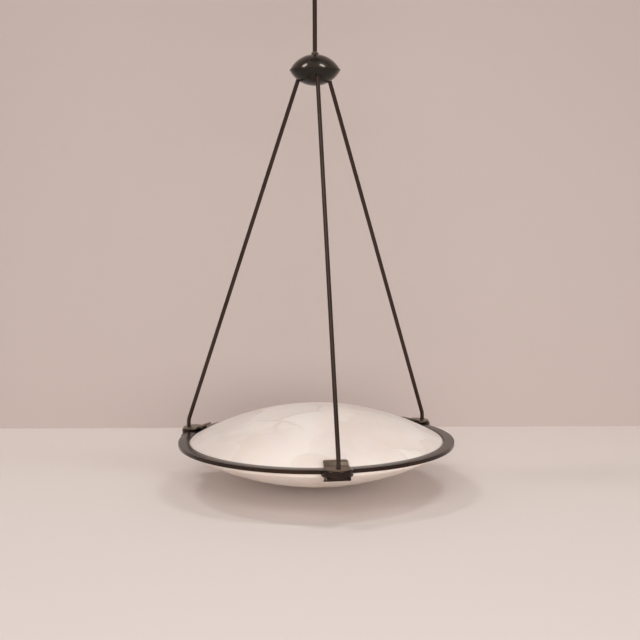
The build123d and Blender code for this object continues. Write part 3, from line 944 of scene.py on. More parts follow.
@dataclass(frozen=True)
class AlabasterFinish(Finish):
    """Polished alabaster: warm white stone of faint cells, with drifting clouds and grey-beige seams."""

    cloud: Colour = (220, 207, 198)
    cloud_scale: float = 5.5
    warm: Colour = (216, 199, 187)
    warm_share: float = 0.66
    vein: Colour = (186, 172, 164)
    vein_share: float = 0.36
    cell_scale: float = 8.5
    shift: Place = (2.6, 1.3, 0.1)
    glow: float = 1.0
    glow_depth: float = 0.004
    glow_reach: Colour = (1.0, 0.75, 0.55)

    def make(self, effects: Effects) -> Material:
        """Build the stone.

        Args:
            effects: The shared effects.

        Returns:
            The material.
        """
        material, shader = self._base(effects)
        tree = material.node_tree
        broad = self._clouded(tree, effects, self.cloud, self.cloud_scale)
        cells = self._effect(tree, effects.cells, self.shift, Scale=self.cell_scale, Warp=0.12, Seam=0.055)
        patch = self._effect(tree, effects.clouds, Scale=4.0, Warp=0.1, Low=0.4, High=0.6)
        graded = blend(tree, product(tree, cells.outputs["Tone"], self.warm_share), broad, self.warm)
        seams = product(tree, cells.outputs["Mask"], self.vein_share)
        veined = blend(tree, product(tree, seams, patch.outputs["Mask"]), graded, self.vein)
        wire(tree, (veined, shader.inputs["Base Color"]))
        shader.inputs["Subsurface Weight"].default_value = self.glow
        shader.inputs["Subsurface Radius"].default_value = self.glow_reach
        shader.inputs["Subsurface Scale"].default_value = self.glow_depth
        return material


@dataclass(frozen=True)
class BulbFinish(LacquerFinish):
    """Opal glass of an unlit bulb, with a clear skin."""

    cloud: Colour = (232, 229, 222)
    cloud_scale: float = 30.0
    skin: float = 0.6
    skin_roughness: float = 0.05

    def make(self, effects: Effects) -> Material:
        """Build the opal glass.

        Args:
            effects: The shared effects.

        Returns:
            The material.
        """
        material = super().make(effects)
        shader = material.node_tree.nodes["Principled BSDF"]
        shader.inputs["Coat Weight"].default_value = self.skin
        shader.inputs["Coat Roughness"].default_value = self.skin_roughness
        return material


class Wardrobe:
    """Every finish of the lamp, made once and handed out by name."""

    FINISHES: tuple[Finish, ...] = (
        LacquerFinish("bronze_satin", Slot.BRONZE, (41, 28, 22), 0.22, metallic=0.5, specular=0.3),
        LacquerFinish("bronze_gloss", Slot.BRONZE, (56, 48, 39), 0.17, 0.04, metallic=0.5, specular=0.4),
        # A darker copy of the hub's gloss bronze: painted shade on the lower shell, which faces the floor
        # under the cap's rim.
        LacquerFinish("bronze_painted_shade", Slot.BRONZE, (34, 30, 24), 0.2, 0.04, metallic=0.5, cloud=(29, 24, 19)),
        LacquerFinish("bronze_rod", Slot.BRONZE, (58, 43, 36), 0.32, metallic=0.5, specular=0.45),
        # A lighter copy of the bronze: painted sheen on the clips and collars, standing for the light that
        # their faces reflect.
        LacquerFinish("bronze_painted_sheen", Slot.BRONZE, (124, 110, 94), 0.36, metallic=0.8, cloud=(100, 86, 72)),
        Finish("zinc", Slot.STEEL, (168, 168, 166), 0.38, 0.08, 500.0, metallic=1.0),
        Finish("zinc_dull", Slot.STEEL, (96, 92, 86), 0.5, 0.08, 500.0, metallic=1.0),
        Finish("black_rubber", Slot.RUBBER, (26, 25, 24), 0.72, 0.1, 500.0, 0.2),
        Finish("glazed_ceramic", Slot.CERAMIC, (232, 229, 222), 0.2, 0.06, 300.0),
        AlabasterFinish("polished_alabaster", Slot.ALABASTER, (233, 222, 214), 0.38, 0.08, 400.0),
        BulbFinish("opal_glass", Slot.BULB, (240, 238, 232), 0.12),
    )

    def __init__(self) -> None:
        """Build every finish."""
        effects = Effects()
        self.materials = {finish.name: finish.make(effects) for finish in self.FINISHES}
        self.slots = {finish.name: finish.slot for finish in self.FINISHES}

    def dress(self, piece: Piece, finish: str) -> None:
        """Give a piece one finish all over."""
        piece.data.materials.clear()
        piece.data.materials.append(self.materials[finish])

    def place(self, piece: Piece, finish: str, body: Body, *nodes: str) -> None:
        """Dress a new piece, put it on its body and let it stand in for its solids.

        Args:
            piece: The new piece.
            finish: The finish's name.
            body: The body that it rides on.
            *nodes: The solids that it replaces.
        """
        self.dress(piece, finish)
        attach(piece, body.value)
        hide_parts(*nodes)
        LOG.info("%s: %d points, rides on %s", piece.name, len(piece.data.vertices), body.value)


@dataclass
class DishPair:
    """The two alabaster dishes, one shape turned two ways."""

    levels: Levels
    wall: float = 8.0
    crown: float = 66.0
    knuckle: float = 7.0
    rim_chamfer: float = 0.8
    crown_steps: int = 48
    knuckle_steps: int = 10
    inner_steps: int = 40
    steps: int = 192

    def _dish(self, name: str, rim_z: float, side: Side) -> Piece:
        """Spin one dish from its section.

        Args:
            name: The dish's name.
            rim_z: The height of its rim.
            side: Which way its crown points.

        Returns:
            The dish.
        """
        sign = side.value
        radius = self.levels.dish_radius
        sphere = (radius**2 + self.crown**2) / (2 * self.crown)
        centre_rise = self.levels.dish_land + self.crown - sphere
        inner_sphere = sphere - self.wall
        inner_rim = radius - self.wall
        inner_knee = centre_rise + math.sqrt(inner_sphere**2 - inner_rim**2)
        bend_x = radius - self.knuckle
        bend_rise = centre_rise + math.sqrt((sphere - self.knuckle) ** 2 - bend_x**2)
        lean = math.degrees(math.atan2(bend_x, bend_rise - centre_rise))
        inner_lean = math.degrees(math.asin(inner_rim / inner_sphere))
        chamfer = self.rim_chamfer

        def at(x: float, rise: float) -> Place:
            """Return a section point at a radius and a height above the rim."""
            return (x, 0.0, rim_z + sign * rise)

        bench = Workbench(name).point(at(0.0, centre_rise + sphere))
        bench.arc(at(0.0, centre_rise), sign * lean, self.crown_steps)
        bench.arc(at(bend_x, bend_rise), sign * (90.0 - lean), self.knuckle_steps)
        bench.lines(
            at(radius, chamfer),
            at(radius - chamfer, 0.0),
            at(inner_rim + chamfer, 0.0),
            at(inner_rim, chamfer),
            at(inner_rim, inner_knee),
        )
        bench.arc(at(0.0, centre_rise), -sign * inner_lean, self.inner_steps)
        return bench.revolve(self.steps).done(Smooth.SPUN)

    def build(self, wardrobe: Wardrobe) -> None:
        """Model and dress both dishes.

        Args:
            wardrobe: The finishes.
        """
        upper = self._dish("alabaster_dome", self.levels.arm_top, Side.UPPER)
        wardrobe.place(upper, "polished_alabaster", Body.PENDANT, "upper_dish")
        lower = self._dish("alabaster_bowl", self.levels.arm_bottom, Side.LOWER)
        wardrobe.place(lower, "polished_alabaster", Body.PENDANT, "lower_dish")


@dataclass
class Hoop:
    """The flat ring round the dishes."""

    levels: Levels
    edge: float = 0.7
    steps: int = 256

    def build(self, wardrobe: Wardrobe) -> None:
        """Spin the ring from its rounded section and dress it.

        Args:
            wardrobe: The finishes.
        """
        inner = self.levels.ring_inner
        outer = self.levels.ring_outer
        top = self.levels.ring_top
        bottom = self.levels.ring_bottom
        middle = (inner + outer) / 2
        bench = Workbench("bronze_hoop").point((middle, 0.0, top))
        corners = [
            (outer, 0.0, top),
            (outer, 0.0, bottom),
            (inner, 0.0, bottom),
            (inner, 0.0, top),
            (middle, 0.0, top),
        ]
        bench.route(corners, [self.edge] * 4)
        hoop = bench.revolve(self.steps).done(Smooth.SPUN)
        wardrobe.place(hoop, "bronze_satin", Body.PENDANT, "hoop_ring")


@dataclass
class Stations:
    """The three rods with the lugs, swivel clips, lower clips and nuts at their feet."""

    levels: Levels
    angles: tuple[float, ...] = (-90.0, 30.0, 150.0)
    rod_radius: float = 4.0
    stud_radius: float = 3.0
    stud_recess: float = 0.4
    bend_height: float = 22.0
    bend_radius: float = 30.0
    bend_steps: int = 14
    entry_radius: float = 35.0
    entry_drop: float = 16.0
    end_rise: float = 0.5
    lug_round: float = 28.8
    lug_inset: float = 17.2
    lug_bevel: float = 1.4
    lug_taper: float = 1.0
    lug_edge: float = 0.25
    lug_sides: int = 96
    drum_sides: int = 512
    arm_width: float = 14.0
    arm_eye: float = 11.0
    clip_half: float = 22.25
    clip_round: float = 26.2
    clip_spare: float = 3.0
    clip_step_back: float = 9.0
    clip_step_run: float = 6.0
    clip_step_rise: float = 4.8
    clip_step_swell: float = 0.5
    clip_root_run: float = 1.0
    clip_over_dish: float = 7.0
    clip_tip_rise: float = 7.2
    clip_corner: float = 5.0
    clip_nose_steps: int = 24
    clip_corner_steps: int = 6
    clip_bends: tuple[float, ...] = (2.0, 2.0, 0.0, 0.0, 2.0, 0.6, 0.0, 0.0)
    lower_half: float = 21.25
    lower_front: float = 7.4
    lower_wall: float = 2.8
    lower_wall_back: float = 1.0
    lower_to_dish: float = 5.4
    lower_root_lift: float = 1.5
    lower_root_ease: float = 0.5
    lower_tip_dip: float = 1.5
    lower_corner: float = 2.0
    lower_corner_faces: int = 4
    lower_bends: tuple[float, ...] = (0.0, 0.6, 0.0, 0.0, 2.0, 1.5, 0.0)
    nut_flats: float = 10.0
    nut_height: float = 3.0
    nut_gap: float = 0.4
    pocket_sides: int = 48
    edge: float = 0.35
    lean: float = field(init=False)
    step_start: float = field(init=False)
    tip: float = field(init=False)

    def __post_init__(self) -> None:
        """Work out the sizes that follow from the others."""
        axis = self.levels.rod_axis
        bend_z = self.levels.ring_z + self.bend_height
        entry_z = self.levels.hub_z - self.entry_drop
        self.lean = (axis - self.entry_radius) / (entry_z - bend_z)
        self.step_start = axis - self.levels.dish_radius - self.clip_step_back
        self.tip = axis - self.levels.dish_radius + self.clip_over_dish

    def _stud_hole(self, under: float) -> Piece:
        """Make the tool that bores a piece for the stud, from a height upward."""
        return peg(self.stud_radius + self.levels.slip, (self.levels.rod_axis, 0, under), THROUGH)

    def _rod(self) -> Piece:
        """Draw one rod from its stud up to the hub, lying outward along x.

        Returns:
            The rod.
        """
        axis = self.levels.rod_axis
        shoulder = self.levels.clip_top + self.levels.seat_gap
        bend_z = self.levels.ring_z + self.bend_height
        end_z = self.levels.hub_z + self.end_rise
        end_radius = self.entry_radius - self.lean * (end_z - self.levels.hub_z + self.entry_drop)
        turn = math.atan(self.lean)
        start_z = bend_z - self.bend_radius * math.tan(turn / 2)
        shank = self.rod_radius - self.edge
        stud_end = self.levels.lower_clip_bottom + self.stud_recess
        bench = Workbench("rod_pattern").disc(self.stud_radius, (axis, 0, stud_end))
        bench.lines((axis, 0, shoulder))
        bench.taper((0, 0, 0), shank / self.stud_radius)
        bench.taper((0, 0, self.edge), self.rod_radius / shank)
        bench.lines((axis, 0, start_z))
        bench.arc((axis - self.bend_radius, 0, start_z), -math.degrees(turn), self.bend_steps)
        bench.lines((end_radius, 0, end_z))
        return bench.seal().done(Smooth.TURNED)

    def _lug(self) -> Piece:
        """Turn one lug: a round boss with bevelled edges, fitted to the ring and slotted for the arm.

        Returns:
            The lug.
        """
        axis = self.levels.rod_axis
        low = self.levels.arm_bottom + self.levels.seat_gap
        under = low - CLEAR
        height = self.levels.lug_top - low
        foot = self.lug_round - self.lug_taper
        crown = self.lug_round - self.lug_bevel
        bench = Workbench("lug_pattern").disc(foot, (axis - self.lug_inset, 0, low), self.lug_sides)
        bench.taper((0, 0, self.lug_taper), self.lug_round / foot)
        bench.raise_by((0, 0, height - self.lug_taper - self.lug_bevel))
        bench.taper((0, 0, self.lug_bevel), crown / self.lug_round)
        lug = bench.seal().done()
        drum = self.levels.ring_outer + self.levels.seat_gap
        cut(lug, peg(drum, (0, 0, under), THROUGH, self.drum_sides))
        half_arm = self.arm_width / 2 + self.levels.rest_gap
        slot_height = CLEAR + self.levels.arm_thickness
        back = axis - THROUGH
        front = axis + self.levels.rest_gap
        slot = Workbench("slot").point((back, -half_arm, under))
        slot.lines((front, -half_arm, under), (front, half_arm, under))
        slot.lines((back, half_arm, under), (back, -half_arm, under))
        cut(lug, slot.fill().raise_by((0, 0, slot_height)).seal().done())
        cut(lug, peg(self.arm_eye / 2 + self.levels.rest_gap, (axis, 0, under), slot_height))
        cut(lug, self._stud_hole(under))
        soften(lug, self.lug_edge)
        return lug

    def _clip(self) -> Piece:
        """Bend one swivel clip from a plate and round its corners.

        Returns:
            The clip.
        """
        axis = self.levels.rod_axis
        low = self.levels.clip_bottom
        top = self.levels.clip_top
        under = low - CLEAR
        half = self.clip_half
        front = axis + self.clip_round - self.lug_inset + self.clip_spare
        start = axis - self.step_start
        step = start - self.clip_step_run
        tip = axis - self.tip
        bench = Workbench("clip_pattern").point((front, -half, low))
        corners = [
            (start, -half, low),
            (step, -half, low + self.clip_step_rise),
            (tip, -half, low + self.clip_tip_rise),
            (tip, -half, low + self.clip_tip_rise + self.levels.clip_plate),
            (step, -half, top + self.clip_step_rise + self.clip_step_swell),
            (start, -half, top + self.clip_step_swell),
            (start + self.clip_root_run, -half, top),
            (front, -half, top),
            (front, -half, low),
        ]
        bench.route(corners, self.clip_bends)
        clip = bench.fill().raise_by((0, 2 * half, 0)).seal().done()
        sweep = math.degrees(math.asin(half / self.clip_round))
        shoulder = axis - self.lug_inset + math.sqrt(self.clip_round**2 - half**2)
        plan = Workbench("plan").point((shoulder, -half, under))
        plan.arc((axis - self.lug_inset, 0, under), 2 * sweep, self.clip_nose_steps, UP)
        outline = [(tip, half, under), (tip, -half, under), (shoulder, -half, under)]
        plan.route(outline, [self.clip_corner, self.clip_corner], self.clip_corner_steps)
        cut(clip, plan.fill().raise_by((0, 0, THROUGH)).seal().done(), Cut.TRIM)
        cut(clip, self._stud_hole(under))
        soften(clip, self.edge)
        return clip

    def _lower_clip(self) -> Piece:
        """Shape one lower clip: a thick base, a wall and a tongue under the dish.

        Returns:
            The lower clip.
        """
        axis = self.levels.rod_axis
        top = self.levels.arm_bottom - self.levels.seat_gap
        bottom = self.levels.lower_clip_bottom
        under = bottom - CLEAR
        half = self.lower_half
        root = self.levels.arm_bottom - self.levels.dish_land - self.lower_to_dish + self.lower_root_lift
        drop = self.clip_tip_rise - self.clip_step_rise + self.lower_tip_dip
        wall_out = axis - self.step_start - self.lower_wall_back
        wall_in = wall_out - self.lower_wall
        tip = axis - self.tip
        front = axis + self.lower_front
        bench = Workbench("lower_clip_pattern").point((front, -half, top))
        corners = [
            (wall_in, -half, top),
            (wall_in, -half, root),
            (tip, -half, root - drop),
            (tip, -half, root - drop - self.lower_wall),
            (wall_out, -half, root - self.lower_wall + self.lower_root_ease),
            (wall_out, -half, bottom),
            (front, -half, bottom),
            (front, -half, top),
        ]
        bench.route(corners, self.lower_bends)
        bench.fill().raise_by((0, 2 * half, 0)).seal()

        def front_corner(first: Vector, second: Vector) -> bool:
            """Tell whether an edge stands upright at the front."""
            upright = abs(first.x - second.x) < SAME_LINE and abs(first.y - second.y) < SAME_LINE
            return upright and first.x > front - SAME_FRONT

        clip = bench.bevel(front_corner, self.lower_corner, self.lower_corner_faces).seal().done()
        cut(clip, self._stud_hole(under))
        pocket = self.nut_flats / math.sqrt(3) + self.nut_gap
        depth = CLEAR + self.nut_height + self.nut_gap
        cut(clip, peg(pocket, (axis, 0, under), depth, self.pocket_sides))
        soften(clip, self.edge)
        return clip

    def _foot_nut(self) -> Piece:
        """Turn one foot nut, its corners taken off at both ends.

        Returns:
            The nut.
        """
        axis = self.levels.rod_axis
        foot = self.levels.lower_clip_bottom + self.nut_gap - self.levels.seat_gap
        bore = self.stud_radius + self.levels.seat_gap
        return hexagon_nut("foot_nut_pattern", self.nut_flats, self.nut_height, bore, (axis, 0.0, foot))

    def build(self, wardrobe: Wardrobe) -> None:
        """Model each piece once, copy it to the three stations and dress the copies.

        Args:
            wardrobe: The finishes.
        """
        patterns = {
            "rod": (self._rod(), "bronze_rod"),
            "lug": (self._lug(), "bronze_satin"),
            # The swivel clips take the lighter bronze as a painted sheen.
            "clip": (self._clip(), "bronze_painted_sheen"),
            "lower_clip": (self._lower_clip(), "bronze_satin"),
        }
        for label, (pattern, finish) in patterns.items():
            for number, angle in enumerate(self.angles, start=1):
                piece = turned_copy(pattern, "bronze_" + label + "_" + str(number), angle)
                body = Body["CLIP_" + str(number)] if label == "clip" else Body.PENDANT
                wardrobe.place(piece, finish, body, label + "_" + str(number))
            discard(pattern)
        nut = self._foot_nut()
        nuts = [turned_copy(nut, "foot_nut", angle) for angle in self.angles]
        discard(nut)
        wardrobe.place(joined(nuts, "foot_nut_set"), "zinc", Body.PENDANT, "foot_nuts")


@dataclass
class Hub:
    """The lens-shaped hub: two spun shells with the stem nuts inside."""

    levels: Levels
    radius: float = 49.0
    cap_height: float = 30.0
    bowl_depth: float = 29.0
    wall: float = 1.5
    lip: float = 0.5
    lip_height: float = 0.9
    lip_round: float = 0.25
    seam_gap: float = 0.3
    rod_hole: float = 4.1
    drill_back: float = 20.0
    drill_length: float = 35.0
    core_drop: float = 1.0
    core_height: float = 10.0
    nut_flats: float = 13.0
    nut_height: float = 4.6
    steps: int = 160
    outer_steps: int = 40
    inner_steps: int = 36
    lip_steps: int = 4

    def _cap(self) -> Piece:
        """Spin the upper shell with its fine lip.

        Returns:
            The shell.
        """
        rim = self.levels.hub_z + self.seam_gap
        sphere = ((self.radius - self.lip) ** 2 + self.cap_height**2) / (2 * self.cap_height)
        centre = rim + self.cap_height - sphere
        inner = sphere - self.wall
        hole = self.levels.stem_radius + self.levels.slip
        lip_top = rim + self.lip_height
        hole_lean = math.degrees(math.asin(hole / sphere))
        lip_lean = math.degrees(math.acos((lip_top - centre) / sphere))
        inner_hole_lean = math.degrees(math.asin(hole / inner))
        inner_lean = math.degrees(math.acos((rim - centre) / inner))
        inner_rim = inner * math.sin(math.radians(inner_lean))
        start = (hole, 0.0, centre + sphere * math.cos(math.radians(hole_lean)))
        bench = Workbench("hub_cap").point(start)
        bench.arc((0, 0, centre), lip_lean - hole_lean, self.outer_steps)
        corners = [(self.radius, 0.0, lip_top), (self.radius, 0.0, rim), (inner_rim, 0.0, rim)]
        bench.route(corners, [self.lip_round, self.lip_round], self.lip_steps)
        bench.arc((0, 0, centre), inner_hole_lean - inner_lean, self.inner_steps)
        return bench.lines(start).revolve(self.steps).done(Smooth.SPUN)

    def _bowl(self, stations: Stations) -> Piece:
        """Spin the lower shell and drill it for the rods.

        Args:
            stations: The rods.

        Returns:
            The shell.
        """
        rim = self.levels.hub_z
        rim_radius = self.radius - self.lip
        sphere = (rim_radius**2 + self.bowl_depth**2) / (2 * self.bowl_depth)
        centre = rim - self.bowl_depth + sphere
        inner = sphere - self.wall
        lean = math.degrees(math.asin(rim_radius / sphere))
        inner_lean = math.degrees(math.acos((centre - rim) / inner))
        bench = Workbench("hub_bowl").point((0.0, 0.0, centre - sphere))
        bench.arc((0, 0, centre), -lean, self.outer_steps)
        bench.lines((inner * math.sin(math.radians(inner_lean)), 0.0, rim))
        bench.arc((0, 0, centre), inner_lean, self.inner_steps)
        bowl = bench.revolve(self.steps).done(Smooth.SPUN)
        entry = Vector((stations.entry_radius, 0, rim - stations.entry_drop)) * MM
        slant = Matrix.Translation(entry) @ Matrix.Rotation(-math.atan(stations.lean), 4, "Y")
        for angle in stations.angles:
            drill = peg(self.rod_hole, (0, 0, -self.drill_back), self.drill_length)
            drill.data.transform(slant)
            drill.data.transform(Matrix.Rotation(math.radians(angle), 4, "Z"))
            cut(bowl, drill)
        shade(bowl, Smooth.SPUN)
        return bowl

    def build(self, wardrobe: Wardrobe, stations: Stations) -> None:
        """Model and dress the shells and the nuts.

        Args:
            wardrobe: The finishes.
            stations: The rods that the lower shell is drilled for.
        """
        wardrobe.place(self._cap(), "bronze_gloss", Body.HUB_COVER, "hub_upper_shell")
        # The lower shell wears the darker bronze as painted shade on its downward face.
        wardrobe.place(self._bowl(stations), "bronze_painted_shade", Body.PENDANT, "hub_lower_shell")
        core_top = self.levels.hub_z - self.core_drop
        core_bottom = core_top - self.core_height
        gap = self.levels.seat_gap
        bore = self.levels.stem_radius + gap
        nuts = []
        for foot in (core_top + gap, core_bottom - gap - self.nut_height):
            nuts.append(hexagon_nut("stem_nut", self.nut_flats, self.nut_height, bore, (0.0, 0.0, foot)))
        wardrobe.place(joined(nuts, "stem_nut_pair"), "zinc", Body.PENDANT, "stem_nuts")


@dataclass
class StemAndCanopy:
    """The stem tube, the canopy below the ceiling and the two collars with their grub screws."""

    levels: Levels
    stem_top: float = -60.477
    stem_foot: float = -253.1
    stem_bore: float = 2.5
    stem_edge: float = 0.3
    stem_steps: int = 48
    canopy_radius: float = 56.0
    canopy_rim: float = -4.5
    canopy_height: float = 68.0
    canopy_wall: float = 1.2
    canopy_flat: float = 10.0
    canopy_skirt: float = 14.0
    canopy_taper: float = 1.0
    canopy_bends: int = 32
    canopy_steps: int = 128
    collar_radius: float = 7.0
    collar_taper: float = 2.0
    collar_edge: float = 0.3
    collar_steps: int = 72
    canopy_collar: float = 8.0
    hub_collar: float = 4.6
    hub_cap_top: float = -204.7
    grub_radius: float = 1.2
    grub_inset: float = 0.6
    grub_edge: float = 0.2
    grub_sides: int = 28
    socket_radius: float = 0.7
    socket_depth: float = 1.3
    hub_grub_drop: float = 0.55

    def _stem(self) -> Piece:
        """Spin the stem tube with broken edges at both ends.

        Returns:
            The stem.
        """
        radius = self.levels.stem_radius
        edge = self.stem_edge
        low = self.stem_foot
        top = self.stem_top
        bench = Workbench("bronze_stem").point((radius, 0.0, low + edge))
        bench.lines(
            (radius, 0.0, top - edge),
            (radius - edge, 0.0, top),
            (self.stem_bore, 0.0, top),
            (self.stem_bore, 0.0, low),
            (radius - edge, 0.0, low),
            (radius, 0.0, low + edge),
        )
        return bench.revolve(self.stem_steps).done(Smooth.TURNED)

    def _canopy_face(self, inset: float) -> list[Place]:
        """List the section points of the canopy's outer or inner face, from its rim to the stem.

        Args:
            inset: How far the face lies inside the outer one.

        Returns:
            The points.
        """
        rim = self.canopy_rim
        skirt = rim - self.canopy_skirt
        waist = self.canopy_radius - self.canopy_taper
        wide = waist - self.canopy_flat - inset
        deep = self.canopy_height - self.canopy_skirt - inset
        points = [(self.canopy_radius - inset, 0.0, rim), (waist - inset, 0.0, skirt)]
        for number in range(1, self.canopy_bends + 1):
            turn = math.radians(90.0 * number / self.canopy_bends)
            points.append((self.canopy_flat + wide * math.cos(turn), 0.0, skirt - deep * math.sin(turn)))
        points.append((self.levels.stem_radius + self.levels.slip, 0.0, rim - self.canopy_height + inset))
        return points

    def _canopy(self) -> Piece:
        """Spin the canopy, a drawn dome open to the ceiling.

        Returns:
            The canopy.
        """
        outline = self._canopy_face(0.0)
        inside = self._canopy_face(self.canopy_wall)
        bench = Workbench("bronze_canopy").point(outline[0])
        bench.lines(*outline[1:], *reversed(inside), outline[0])
        return bench.revolve(self.canopy_steps).done(Smooth.SPUN)

    def _collar(self, name: str, foot: float, height: float, up: bool, grub_z: float) -> Piece:
        """Spin a collar with one tapered end and drill it for its grub screw.

        Args:
            name: The collar's name.
            foot: The height of its lower face.
            height: Its height.
            up: Whether the tapered end is the upper one.
            grub_z: The height of its grub screw.

        Returns:
            The collar.
        """
        hole = self.levels.stem_radius + self.levels.slip
        radius = self.collar_radius
        low_cut = self.collar_edge if up else self.collar_taper
        top_cut = self.collar_taper if up else self.collar_edge
        bench = Workbench(name).point((hole, 0.0, foot))
        bench.lines(
            (radius - low_cut, 0.0, foot),
            (radius, 0.0, foot + low_cut),
            (radius, 0.0, foot + height - top_cut),
            (radius - top_cut, 0.0, foot + height),
            (hole, 0.0, foot + height),
            (hole, 0.0, foot),
        )
        collar = bench.revolve(self.collar_steps).done(Smooth.TURNED)
        drill = peg(self.grub_radius + self.levels.seat_gap, (0, 0, 0), THROUGH, self.grub_sides)
        lay_forward(drill, grub_z)
        cut(collar, drill)
        shade(collar, Smooth.TURNED)
        return collar

    def _grub(self, name: str, middle: float) -> Piece:
        """Model a grub screw with a hexagon socket in its outer end.

        Args:
            name: The screw's name.
            middle: The height of its axis.

        Returns:
            The screw.
        """
        start = self.levels.stem_radius + self.levels.slip
        length = self.collar_radius - start - self.grub_inset
        bench = Workbench(name).disc(self.grub_radius, (0, 0, start), self.grub_sides)
        bench.raise_by((0, 0, length - self.grub_edge))
        bench.taper((0, 0, self.grub_edge), (self.grub_radius - self.grub_edge) / self.grub_radius)
        screw = bench.seal().done()
        cut(screw, peg(self.socket_radius, (0, 0, start + length - self.socket_depth), CLEAR, 6))
        lay_forward(screw, middle)
        shade(screw, Smooth.SCREW)
        return screw

    def build(self, wardrobe: Wardrobe) -> None:
        """Model and dress the stem, the canopy, the collars and their screws.

        Args:
            wardrobe: The finishes.
        """
        wardrobe.place(self._stem(), "bronze_rod", Body.PENDANT, "stem")
        wardrobe.place(self._canopy(), "bronze_gloss", Body.CANOPY, "canopy")
        canopy_foot = self.canopy_rim - self.canopy_height - self.canopy_collar
        rows = (
            ("canopy", canopy_foot, self.canopy_collar, Body.CANOPY, 0.0),
            ("hub", self.hub_cap_top, self.hub_collar, Body.HUB_COVER, self.hub_grub_drop),
        )
        for owner, foot, height, body, drop in rows:
            grub_z = foot + height / 2 - drop
            collar = self._collar(owner + "_stop_collar", foot, height, owner == "hub", grub_z)
            # The collars take the lighter bronze as a painted sheen.
            wardrobe.place(collar, "bronze_painted_sheen", body, owner + "_collar")
            grub = self._grub(owner + "_collar_screw", grub_z)
            wardrobe.place(grub, "zinc_dull", body, owner + "_grub_screw")


@dataclass
class PlainPieces:
    """The solids that are shown as they are, mostly out of sight, each with its finish."""

    zinc: tuple[str, ...] = (
        "ceiling_strap",
        "ceiling_hook",
        "swivel_link",
        "stem_fork",
        "link_pin",
        "hub_core",
        "rod_set_screws",
        "lamp_carrier",
        "block_screws",
    )
    rubber: tuple[str, ...] = (
        "rim_gasket",
        "clip_bumper_1",
        "clip_bumper_2",
        "clip_bumper_3",
        "lower_bumpers",
    )
    ceramic: tuple[str, ...] = ("lampholder_1", "lampholder_2", "lampholder_3", "terminal_block")
    glass: tuple[str, ...] = ("bulb_1", "bulb_2", "bulb_3")

    def build(self, wardrobe: Wardrobe, nodes: dict[str, Piece]) -> None:
        """Dress each solid.

        Args:
            wardrobe: The finishes.
            nodes: The solids by name.
        """
        finishes = {
            "zinc": self.zinc,
            "black_rubber": self.rubber,
            "glazed_ceramic": self.ceramic,
            "opal_glass": self.glass,
        }
        for finish, names in finishes.items():
            for name in names:
                wardrobe.dress(nodes[name], finish)
                LOG.info("%s: shown as its solid in %s", name, finish)


@dataclass(frozen=True)
class SoftLight:
    """One soft rectangular light: its place and aim in metres from the ring, its size, power and spread.

    Polished surfaces mirror it only when it is marked as mirrored.
    """

    name: str
    place: Place
    aim: Place
    width: float
    height: float
    power: float
    spread: float = 180.0
    mirrored: bool = True


